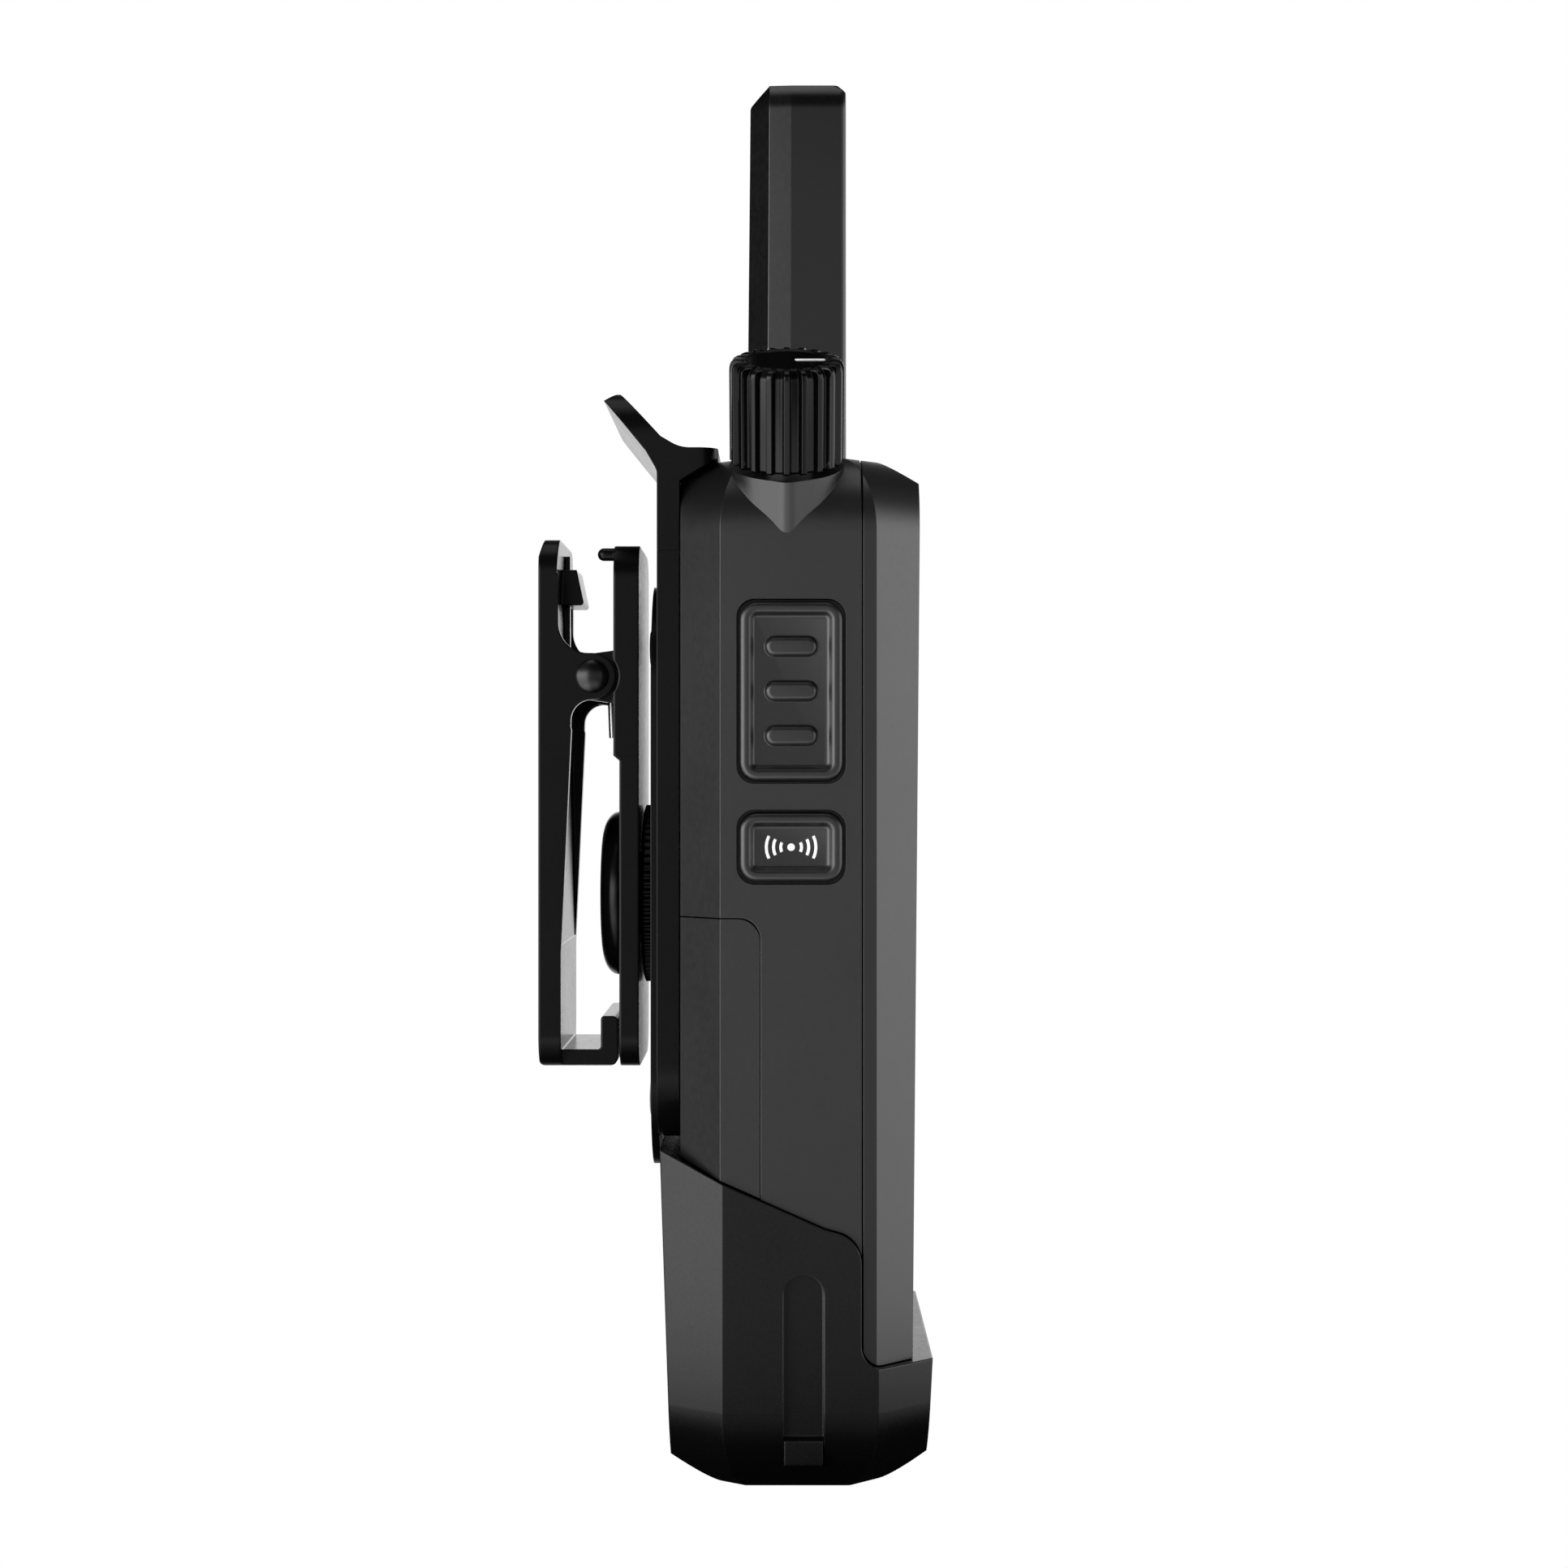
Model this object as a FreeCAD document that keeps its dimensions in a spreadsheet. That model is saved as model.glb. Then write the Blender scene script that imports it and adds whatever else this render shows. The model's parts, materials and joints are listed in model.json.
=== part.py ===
"""Hand-held two-way radio with a swivelling belt clip, as separate pieces.

Millimetres. The radio stands on its bottom face with +Z up. Its front looks along -Y, its
talk button is on the -X side and its antenna on the +X side. The origin is the centre of
the flat bottom face. Every size in words below is a cell of the sheet called Dims.
"""
import FreeCAD
import Part
import Sketcher
import math
import os
import re

V = FreeCAD.Vector

DIMS = {
    # casing: outline from above, from the side and from the front
    "half_width": 28.0, "strip_in": 0.3, "strip_long": 1.6,
    "body_top": 116.8, "body_back": 13.4, "back_edge": 8.8, "back_inset": 5.5,
    "front_edge": -8.6, "front_face": -13.7, "front_lean": 1.0, "front_inset": 6.2,
    "top_back": 114.0, "top_back_edge": 8.7, "top_front": 114.0, "top_front_edge": -8.7,
    "crown_radius": 9.0, "wall": 2.0, "casing_low": 4.0, "seam": -7.0, "seam_gap": 0.1,
    "core_inset": 1.9, "core_wall": 1.8, "core_corner": 9.0, "far_out": 200.0, "sweep": 60.0,
    # boot round the lower end
    "boot_proud": 0.8, "boot_back": 15.7, "boot_back_low": 14.5, "boot_chin": -15.1,
    "boot_back_top": 38.5, "boot_side_back": 35.5, "boot_side_mid": 29.8, "boot_mid_edge": -4.05,
    "boot_drop": -6.9, "chin_top": 14.9, "boot_corner": 10.0,
    "boot_chamfer_back": 8.0, "boot_chamfer_front": -8.1, "boot_chamfer_rise": 4.0,
    "lip_round": 3.6, "lip_round_small": 2.4, "groove_y": -0.45, "groove_half": 2.25,
    "groove_low": 3.7, "groove_top": 25.3, "groove_deep": 1.6, "block_top": 7.2, "block_half": 2.15,
    # battery door and battery
    "door_edge": 4.4, "door_top": 64.7, "door_corner": 2.4, "door_wall": 1.7, "door_gap": 0.12,
    "pack_low": 9.0, "pack_top": 59.0,
    # knob on the leaning boss
    "knob_x": -23.85, "knob_y": 1.4, "knob_z": 116.0, "knob_tilt": 22.0, "boss_radius": 6.45,
    "nose_out": 4.8, "nose_radius": 2.2, "nose_root": 5.71, "nose_root_wide": 3.0, "nose_tip": 6.75,
    "nose_tip_wide": 1.02,
    "boss_deep": 12.6, "boss_gap": 0.5, "boss_bore": 5.3, "boss_cap": 2.2, "shaft_radius": 3.0,
    "shaft_gap": 0.05, "shaft_up": 8.5, "knob_radius": 5.9, "rib_radius": 6.4, "rib_wide": 1.05,
    "knob_tall": 12.0, "rib_tall": 11.4, "knob_recess": 0.6, "recess_radius": 4.7,
    "pointer_long": 3.2, "pointer_wide": 0.5, "pointer_start": 1.2, "encoder_radius": 5.1,
    # antenna
    "antenna_x": 17.0, "antenna_half": 7.6, "antenna_back": 6.4, "antenna_back_top": 5.85,
    "antenna_front": -6.0, "antenna_top": 166.4, "antenna_cut": 2.3, "antenna_round": 2.6,
    "antenna_wall": 1.8, "spigot_half_x": 5.2, "spigot_half_y": 4.0, "spigot_low": 113.2,
    # side buttons
    "button_y": 0.9, "button_half": 5.75, "ptt_z": 90.0, "ptt_half": 9.95, "call_z": 72.7,
    "call_half": 3.85, "button_round": 2.0, "button_proud": 0.75, "button_gap": 0.3,
    "button_rim": 2.1, "dish_round": 1.0, "dish_deep": 0.45, "flange_wide": 1.0, "flange_face": 25.6,
    "flange_thick": 0.9, "ridge_pitch": 4.95, "ridge_half": 2.95, "ridge_high": 1.15, "ridge_round": 1.0,
    "switch_top": 23.6, "switch_deep": 3.4,
    # front: display, keys, speaker, microphone
    "display_z": 96.0, "display_half_x": 13.0, "display_half_z": 8.5,
    "lens_thick": 1.2, "key_z": 78.0, "key_pitch": 12.5, "key_half_x": 4.4, "key_half_z": 3.0,
    "key_gap": 0.3, "key_proud": -0.45, "speaker_z": 46.0, "speaker_radius": 17.0,
    "grille_pitch": 4.4, "grille_slot": 1.3, "mic_x": 14.0, "mic_z": 22.5, "mic_radius": 3.0,
    "lamp_x": 17.5, "lamp_z": 108.0,
    # holster and latch
    "plate_half": 21.5, "plate_front": 13.55, "plate_back": 16.1, "plate_low": 38.9,
    "plate_round": 9.0, "plate_top": 106.15, "latch_low": 106.2, "hook_corner": 2.2, "tip_corner": 5.0,
    "hook_front": 9.2, "hook_top": 117.8, "tip_back": 22.2, "tip_top": 124.35, "hook_round": 4.0,
    "lever_root": 115.2, "bend_back": 17.36, "bend_low": 117.4, "bend_front": 15.7,
    "bend_high": 119.1, "bend_round": 1.5, "hook_root": 13.5,
    "pad_half": 17.0, "pad_back": 17.0, "pad_low": 34.8, "pad_top": 103.0, "pad_round": 12.0,
    # swivel and clip
    "hub_z": 66.6, "hub_radius": 10.6, "hub_back": 18.4, "post_radius": 5.0, "post_gap": 0.05,
    "base_front": 18.55, "base_back": 20.8, "base_back_high": 21.5, "base_step": 83.0,
    "base_low": 46.7, "base_top": 107.6, "base_half": 13.0, "base_round": 4.0,
    "head_front": 20.95, "head_back": 23.4, "head_radius": 9.8, "head_round": 1.1,
    "pin_y": 23.95, "pin_z": 92.2, "pin_radius": 1.2, "pin_gap": 0.05, "pin_head": 1.93,
    "pin_out": 0.95, "ear_radius": 2.7, "ear_thick": 1.7, "ear_clear": 0.35, "knuckle_half_z": 3.15,
    "knuckle_out": 11.1, "knuckle_in": 8.6, "knuckle_back": 26.0, "arm_half": 13.0,
    "arm_back": 30.2, "arm_front_top": 27.9, "arm_front_mid": 26.4, "arm_front_low": 27.6,
    "arm_top": 108.3, "arm_low": 46.7, "toe_high": 48.7, "toe_tip": 52.6, "toe_front": 21.05,
    "toe_back": 23.1, "arm_inner": 0.4, "arm_outer": 0.7, "toe_half": 10.5, "toe_round": 1.2,
    "hollow_half": 11.3, "hollow_low": 61.0, "hollow_high": 99.5, "hollow_face": 28.05, "ear_fillet": 2.4, "ear_fillet_top": 3.5,
    "tooth_front": 25.4, "tooth_front_high": 26.3, "tooth_low": 100.9, "tooth_high": 105.1,
    "tooth_half": 5.0, "rib_face": 27.4, "rib_low": 96.0, "rib_high": 107.0, "stub_x": -9.0,
    "stub_z": 106.6, "stub_radius": 0.75, "stub_long": 1.3, "pin_dome": 2.65,
    "spring_radius": 2.3, "spring_wire": 0.35, "spring_half": 7.6,
}

doc = FreeCAD.newDocument("TwoWayRadio")
NODES = []
TURNS = {
    "X": FreeCAD.Rotation(V(0, 1, 0), 90),
    "Y": FreeCAD.Rotation(V(1, 0, 0), -90),
    "Z": FreeCAD.Rotation(),
}
# A sketch's own x, y and normal lie along: above X, Y, Z; front X, Z, -Y; side Y, Z, X.
PLANES = {
    "above": FreeCAD.Rotation(),
    "front": FreeCAD.Rotation(V(1, 0, 0), 90),
    "side": FreeCAD.Rotation(V(1, 1, 1), 120),
}
NORMALS = {"above": ("z", 1), "front": ("y", -1), "side": ("x", 1)}


def make_sheet():
    sheet = doc.addObject("Spreadsheet::Sheet", "Dims")
    for row, (alias, value) in enumerate(DIMS.items(), start=1):
        sheet.set(f"A{row}", alias)
        sheet.set(f"B{row}", str(value))
        sheet.setAlias(f"B{row}", alias)
    doc.recompute()
    return sheet


SHEET = make_sheet()


def size(alias):
    """A cell's value, for what can't hold an expression."""
    return float(SHEET.get(alias))


def words(text):
    """An expression whose words are cells of the sheet."""
    return re.sub(r"[a-z][a-z_]*", lambda m: "Dims." + m[0] if m[0] in DIMS else m[0], str(text))


def bind(thing, **paths):
    for path, text in paths.items():
        thing.setExpression(path.replace("__", "."), words(text))
    return thing


def place(thing, x, y, z):
    return bind(thing, Placement__Base__x=x, Placement__Base__y=y, Placement__Base__z=z)


def box(name, x, y, z):
    """A block between the two expressions given for each axis."""
    block = doc.addObject("Part::Box", name)
    bind(block, Length=f"({x[1]}) - ({x[0]})", Width=f"({y[1]}) - ({y[0]})",
         Height=f"({z[1]}) - ({z[0]})")
    return place(block, x[0], y[0], z[0])


def rod(name, radius, length, x, y, z, axis="Z"):
    """A cylinder that starts at x, y, z and runs along the axis."""
    cylinder = doc.addObject("Part::Cylinder", name)
    cylinder.Placement = FreeCAD.Placement(V(), TURNS[axis])
    bind(cylinder, Radius=radius, Height=length)
    return place(cylinder, x, y, z)


def ball(name, radius, x, y, z):
    sphere = doc.addObject("Part::Sphere", name)
    bind(sphere, Radius=radius)
    return place(sphere, x, y, z)


def outline(name, plane, points):
    """A closed sketch through points, each held by two expressions."""
    sketch = doc.addObject("Sketcher::SketchObject", name)
    sketch.Placement = FreeCAD.Placement(V(), PLANES[plane])
    count = len(points)
    ring = [V(math.cos(math.tau * i / count), math.sin(math.tau * i / count), 0) * 20
            for i in range(count)]
    for i in range(count):
        sketch.addGeometry(Part.LineSegment(ring[i], ring[(i + 1) % count]))
    for i in range(count):
        sketch.addConstraint(Sketcher.Constraint("Coincident", i, 2, (i + 1) % count, 1))
    for i, (across, up) in enumerate(points):
        for kind, text, now in (("DistanceX", across, ring[i].x), ("DistanceY", up, ring[i].y)):
            index = sketch.addConstraint(Sketcher.Constraint(kind, -1, 1, i, 1, now))
            sketch.setExpression(f"Constraints[{index}]", words(text))
    return sketch


def prism(name, plane, points, low, high, rounds=()):
    """An outline pushed from low to high along its plane's axis, with some corners rounded.

    rounds pairs a point's number with the cell that holds its radius.
    """
    sketch = outline(name + "_outline", plane, points)
    axis, sense = NORMALS[plane]
    start = low if sense > 0 else high
    bind(sketch, **{f"Placement__Base__{axis}": start})
    solid = doc.addObject("Part::Extrusion", name)
    solid.Base = sketch
    solid.DirMode = "Normal"
    solid.Solid = True
    bind(solid, LengthFwd=f"({high}) - ({low})")
    if not rounds:
        return solid
    doc.recompute()
    corners = [(sketch.Placement.multVec(sketch.Geometry[i].StartPoint), size(cell))
               for i, cell in rounds]
    picked = []
    for corner, radius in corners:
        for number, edge in enumerate(solid.Shape.Edges, start=1):
            if straight(edge, axis) and edge.distToShape(Part.Vertex(corner))[0] < 1e-4:
                picked.append((number, radius, radius))
    return fillet_edges(name + "_rounded", solid, picked)


def straight(edge, axis):
    if edge.Curve.TypeId != "Part::GeomLine":
        return False
    return abs(abs(getattr(edge.tangentAt(edge.FirstParameter), axis)) - 1) < 1e-4


def fillet_edges(name, solid, picked):
    rounded = doc.addObject("Part::Fillet", name)
    rounded.Base = solid
    rounded.Edges = picked
    return rounded


def soften(name, solid, radius, wanted):
    """Round every edge that the test picks."""
    doc.recompute()
    picked = [(number, radius, radius) for number, edge in enumerate(solid.Shape.Edges, start=1)
              if wanted(edge)]
    return fillet_edges(name, solid, picked)


def cut(name, base, tool):
    result = doc.addObject("Part::Cut", name)
    result.Base = base
    result.Tool = tool
    return result


def join(name, *solids):
    result = doc.addObject("Part::MultiFuse", name)
    result.Shapes = list(solids)
    return result


def group(name, *solids):
    """Separate solids kept in one node."""
    result = doc.addObject("Part::Compound", name)
    result.Links = list(solids)
    return result


def shared(name, *solids):
    result = doc.addObject("Part::MultiCommon", name)
    result.Shapes = list(solids)
    return result


def node(label, thing):
    """Name a finished piece: its label is its file's name."""
    thing.Label = label
    NODES.append(thing)
    return thing


def facet(name, start, run, low, roof, corners):
    """All that lies inside a slanting side face and its mirror image.

    The front view's outline is swept along the face, from the start (x, y) towards the run
    (x, y) on the +X side; corners pairs the low and the upper corner with their radii.
    """
    halves = []
    for mark, hand in (("", "right"), ("-", "left")):
        near = f"{mark}({start[0]})"
        away = f"{mark}(-far_out)"
        view = outline(f"{name}_{hand}_outline", "front",
                       [(near, low), (near, roof), (away, roof), (away, low)])
        bind(view, Placement__Base__y=start[1])
        sweep = doc.addObject("Part::Extrusion", f"{name}_{hand}")
        sweep.Base = view
        sweep.DirMode = "Custom"
        sweep.Solid = True
        bind(sweep, Dir__x=f"{mark}({run[0]})", Dir__y=run[1], Dir__z="0", LengthFwd="sweep",
             LengthRev="sweep")
        doc.recompute()
        picked = []
        for i, cell in corners:
            corner = Part.Vertex(view.Placement.multVec(view.Geometry[i].StartPoint))
            picked += [(number, size(cell), size(cell))
                       for number, edge in enumerate(sweep.Shape.Edges, start=1)
                       if edge.Length > size("sweep") and edge.distToShape(corner)[0] < 1e-4]
        halves.append(fillet_edges(f"{name}_{hand}_rounded", sweep, picked) if picked else sweep)
    return halves


def form(name, front, side, facets, rounds_front=()):
    """What the front view, the side view and the slanting faces have in common."""
    return shared(
        name,
        prism(name + "_front", "front", *front, rounds=rounds_front),
        prism(name + "_side", "side", *side),
        *facets,
    )


# ---------------------------------------------------------------- casing

def casing(name, inset, low, low_corner=None):
    """The faceted body, drawn in by the inset, from the low level up."""
    side = f"(half_width - {inset})"
    back = f"(body_back - {inset})"
    front = f"(front_face + {inset})"
    trim = f"({inset} * 0.45)"
    roof = f"(body_top - {inset})"
    front_view = [(side, low), (side, roof), (f"-{side}", roof), (f"-{side}", low)]
    side_view = [
        (f"{front} + front_lean", low), (back, low), (back, f"top_back - {trim}"),
        (f"top_back_edge - {trim}", roof), (f"top_front_edge + {trim}", roof),
        (front, f"top_front - {trim}"),
    ]
    corners = [(1, "crown_radius")]
    mirrored = [(2, "crown_radius")]
    if low_corner:
        corners.append((0, low_corner))
        mirrored.append((3, low_corner))
    facets = []
    for part, start, stop in (
            ("back", (side, f"back_edge - {trim}"), (f"half_width - back_inset - {trim}", back)),
            ("strip", (side, f"front_edge + {trim} + strip_long"),
             (f"{side} - strip_in", f"front_edge + {trim}")),
            ("front", (f"{side} - strip_in", f"front_edge + {trim}"),
             (f"half_width - front_inset - {trim}", front))):
        run = [f"({stop[i]}) - ({start[i]})" for i in (0, 1)]
        facets += facet(f"{name}_{part}", start, run, low, roof, corners)
    return form(name, (front_view, f"{front} - 1", f"{back} + 1"),
                (side_view, "-half_width", "half_width"), facets, corners + mirrored)


def boot_zone(name, rise):
    """All that lies below the boot's upper edge, raised or lowered by the rise."""
    points = [
        ("-20", "-5"), ("20", "-5"), ("20", f"boot_back_top + 1.9 + {rise}"),
        ("boot_mid_edge + 1.2", f"boot_side_mid + 0.5 + {rise}"),
        (f"boot_drop - {rise}", f"boot_side_mid - 0.6 + {rise}"),
        (f"boot_drop - {rise}", f"chin_top + {rise}"), ("-20", f"chin_top + {rise}"),
    ]
    return prism(name, "side", points, "-40", "40",
                 rounds=((4, "lip_round"), (5, "lip_round_small")))


def slab(name, y_low, y_high):
    return box(name, ("-40", "40"), (y_low, y_high), ("-5", "130"))


def casing_shell():
    """The hollow casing: full size above the boot, a smaller core inside the boot."""
    skin = cut("skin_above_boot", casing("skin", "0", "casing_low"),
               boot_zone("zone_skin", "0.1"))
    upper = cut("skin_hollow", skin, casing("skin_inside", "wall", "casing_low + 1.6"))
    core = shared("core_below", casing("core", "core_inset", "casing_low", "core_corner"),
                  boot_zone("zone_core", "1.2"))
    lower = cut("core_hollow", core,
                casing("core_inside", "(core_inset + core_wall)", "casing_low + 1.8",
                       "core_corner"))
    return join("casing_shell", upper, lower)


def door_prism(name, gap):
    low = "boot_side_back - 12"
    points = [(f"door_edge - {gap}", low), ("30", low), ("30", f"door_top + {gap}"),
              (f"door_edge - {gap}", f"door_top + {gap}")]
    return prism(name, "side", points, "-40", "40", rounds=((3, "door_corner"),))


def boss_rod(name, radius, start, stop):
    """A cylinder on the knob's leaning axis, between two distances from the knob's foot."""
    cylinder = doc.addObject("Part::Cylinder", name)
    cylinder.Placement = FreeCAD.Placement(V(), FreeCAD.Rotation(V(0, 1, 0), -size("knob_tilt")))
    bind(cylinder, Radius=radius, Height=f"({stop}) - ({start})")
    return place(cylinder, f"knob_x - sin(knob_tilt) * ({start})", "knob_y",
                 f"knob_z + cos(knob_tilt) * ({start})")


def knob_boss():
    """The leaning boss under the knob: round, with a narrower nose towards the talk side."""
    disc = boss_rod("boss_disc", "boss_radius", "-boss_deep", "-boss_gap")
    nose = boss_rod("boss_nose", "nose_radius", "-boss_deep", "-boss_gap")
    place(nose, "knob_x + sin(knob_tilt) * boss_deep - cos(knob_tilt) * nose_out", "knob_y",
          "knob_z - cos(knob_tilt) * boss_deep - sin(knob_tilt) * nose_out")
    cheeks = outline("boss_cheeks_outline", "above", [
        ("-nose_root", "-nose_root_wide"), ("0", "-nose_root_wide"), ("0", "nose_root_wide"),
        ("-nose_root", "nose_root_wide"), ("-nose_tip", "nose_tip_wide"),
        ("-nose_tip", "-nose_tip_wide")])
    cheeks.Placement = FreeCAD.Placement(V(), FreeCAD.Rotation(V(0, 1, 0), -size("knob_tilt")))
    place(cheeks, "knob_x + sin(knob_tilt) * boss_deep", "knob_y",
          "knob_z - cos(knob_tilt) * boss_deep")
    fill = doc.addObject("Part::Extrusion", "boss_cheeks")
    fill.Base = cheeks
    fill.DirMode = "Normal"
    fill.Solid = True
    bind(fill, LengthFwd="boss_deep - boss_gap")
    return disc, nose, fill


def side_hole(name, z, half_z):
    """The hole in the talk side's wall for a button."""
    room = "button_gap"
    return prism(
        name, "side",
        [(f"button_y - button_half - {room}", f"{z} - {half_z} - {room}"),
         (f"button_y + button_half + {room}", f"{z} - {half_z} - {room}"),
         (f"button_y + button_half + {room}", f"{z} + {half_z} + {room}"),
         (f"button_y - button_half - {room}", f"{z} + {half_z} + {room}")],
        "-half_width - 2", "-half_width + wall + 2",
        rounds=tuple((i, "button_round") for i in range(4)))


def rear_housing(shell):
    opening = cut("door_opening", door_prism("door_cutter", "door_gap"),
                  boot_zone("zone_door", "0.05"))
    half = shared("rear_half", shell, slab("behind_seam", "seam + seam_gap", "30"))
    body = cut("rear_open", half, opening)
    body = join("rear_with_boss", body, *knob_boss())
    holes = join(
        "rear_holes",
        boss_rod("encoder_bore", "boss_bore", "-boss_deep - 4", "-boss_gap - boss_cap"),
        boss_rod("shaft_bore", "shaft_radius + shaft_gap", "-boss_deep", "2"),
        side_hole("ptt_hole", "ptt_z", "ptt_half"),
        side_hole("call_hole", "call_z", "call_half"),
        box("antenna_hole", ("antenna_x - spigot_half_x", "antenna_x + spigot_half_x"),
            ("-spigot_half_y", "spigot_half_y"), ("spigot_low - 2", "body_top + 2")),
        *screw_rods("screw_hole", "2.5", "body_back - wall - 1", "body_back + 1"),
    )
    node("rear_housing", cut("rear_housing", body, holes))


def screw_rods(name, radius, start, stop):
    """Four rods along Y at the places of the casing screws."""
    spots = [(side, z) for z in ("72", "101") for side in ("-18", "18")]
    return [rod(f"{name}_{i}", radius, f"({stop}) - ({start})", x, start, z, "Y")
            for i, (x, z) in enumerate(spots)]


def battery_door():
    skin = cut("door_skin", casing("door_outer", "0", "casing_low"),
               boot_zone("zone_leaf", "0.2"))
    leaf = cut("door_leaf", skin, casing("door_inner", "door_wall", "casing_low"))
    door = shared("door_panel", leaf, door_prism("door_shape", "0"))
    lugs = []
    for i, x in enumerate(("-16", "10")):
        lugs.append(box(f"door_lug_{i}", (x, f"{x} + 6"), ("body_back - door_wall - 1.6",
                    "body_back - door_wall + 0.1"), ("door_top - 3", "door_top - 0.3")))
        lugs.append(box(f"door_tongue_{i}", (x, f"{x} + 6"), ("body_back - wall - 1.3",
                    "body_back - wall - 0.1"), ("door_top - 0.5", "door_top + 1.6")))
    node("battery_door", join("battery_door", door, *lugs))


def front_cover(shell):
    half = shared("front_half", shell, slab("before_seam", "-20", "seam - seam_gap"))
    glass = box("display_hole", ("-display_half_x - 0.1", "display_half_x + 0.1"),
                ("-20", "front_face + wall + 3"),
                ("display_z - display_half_z - 0.1", "display_z + display_half_z + 0.1"))
    keys = [box(f"key_hole_{i}", (f"{i} * key_pitch - key_half_x - key_gap",
                f"{i} * key_pitch + key_half_x + key_gap"), ("-20", "front_face + wall + 3"),
                ("key_z - key_half_z - key_gap", "key_z + key_half_z + key_gap"))
            for i in (-1, 0, 1)]
    mic = rod("mic_hole", "0.8", "10", "mic_x", "-20", "mic_z", "Y")
    lamp = rod("lamp_hole", "1.3", "12", "lamp_x", "-20", "lamp_z", "Y")
    node("front_cover", cut("front_cover", half,
                            join("front_holes", glass, *keys, mic, lamp, *grille_slots())))


def grille_slots():
    """Slots across the speaker, shorter towards the top and the bottom of the circle."""
    slots = []
    for i in range(-3, 4):
        half = f"sqrt((speaker_radius - 1) ^ 2 - ({i} * grille_pitch) ^ 2)"
        level = f"speaker_z + {i} * grille_pitch"
        slots.append(box(f"grille_slot_{i + 3}", (f"-{half}", half),
                         ("-20", "front_face + wall + 3"),
                         (f"{level} - grille_slot / 2", f"{level} + grille_slot / 2")))
    return slots


def seal_gasket():
    """A thin rim of rubber across the seam, inside the walls."""
    ring = shared("gasket_stock", casing("gasket_outer", "(wall + 0.03)", "40"),
                  slab("gasket_band", "seam - 0.9", "seam + 0.9"))
    node("seal_gasket", cut("seal_gasket", ring, casing("gasket_inner", "(wall + 1.2)", "39")))


def bottom_boot():
    side = "half_width + boot_proud"
    facets = []
    for part, start, stop in (
            ("back", (side, "back_edge - 0.2"), ("half_width - back_inset + 0.6", "boot_back")),
            ("front", (side, "front_edge - 0.2"), ("half_width - front_inset + 0.4", "boot_chin"))):
        run = [f"({stop[i]}) - ({start[i]})" for i in (0, 1)]
        facets += facet(f"boot_{part}", start, run, "0", "60", [(0, "boot_corner")])
    front_view = [(side, "0"), (side, "60"), (f"-({side})", "60"), (f"-({side})", "0")]
    side_view = [
        ("boot_chamfer_front", "0"), ("boot_chamfer_back", "0"),
        ("boot_back_low", "boot_chamfer_rise"), ("boot_back", "boot_back_top"),
        ("boot_back", "60"), ("boot_chin", "60"), ("boot_chin", "chin_top"),
        ("boot_chin + 0.6", "boot_chamfer_rise"),
    ]
    block = form("boot_block", (front_view, "boot_chin - 1", "boot_back + 1"),
                 (side_view, f"-({side})", side), facets,
                 [(0, "boot_corner"), (3, "boot_corner")])
    cup = shared("boot_cup", block, boot_zone("zone_boot", "0"))
    cup = cut("boot_hollow", cup,
              casing("boot_inside", "(core_inset - 0.03)", "casing_low - 0.03", "core_corner"))
    cuts = []
    for mark in ("-", ""):
        face = f"{mark}({side})"
        inner = f"{mark}(half_width + boot_proud - groove_deep)"
        span = (face, inner) if mark else (inner, face)
        cuts.append(box("groove_slot", span, ("groove_y - groove_half", "groove_y + groove_half"),
                        ("groove_low", "groove_top - groove_half")))
        cuts.append(rod("groove_end", "groove_half", "groove_deep", span[0], "groove_y",
                        "groove_top - groove_half", "X"))
    for i, x in enumerate(("-8", "8")):
        cuts.append(rod(f"contact_hole_{i}", "2.05", "6", x, "0", "-1"))
    cup = cut("boot_grooved", cup, join("boot_cuts", *cuts))
    stops = []
    for mark in ("-", ""):
        foot = f"{mark}(half_width + boot_proud - groove_deep)"
        tip = f"{mark}(half_width + boot_proud - groove_deep + 1.1)"
        points = [(foot, "groove_low + 0.05"), (tip, "groove_low + 0.5"), (tip, "block_top - 0.4"),
                  (foot, "block_top")]
        stops.append(prism("groove_stop" + ("_near" if mark else "_far"), "front", points,
                           "groove_y - block_half", "groove_y + block_half"))
    node("bottom_boot", join("bottom_boot", cup, *stops))


# ---------------------------------------------------------------- top

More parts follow.
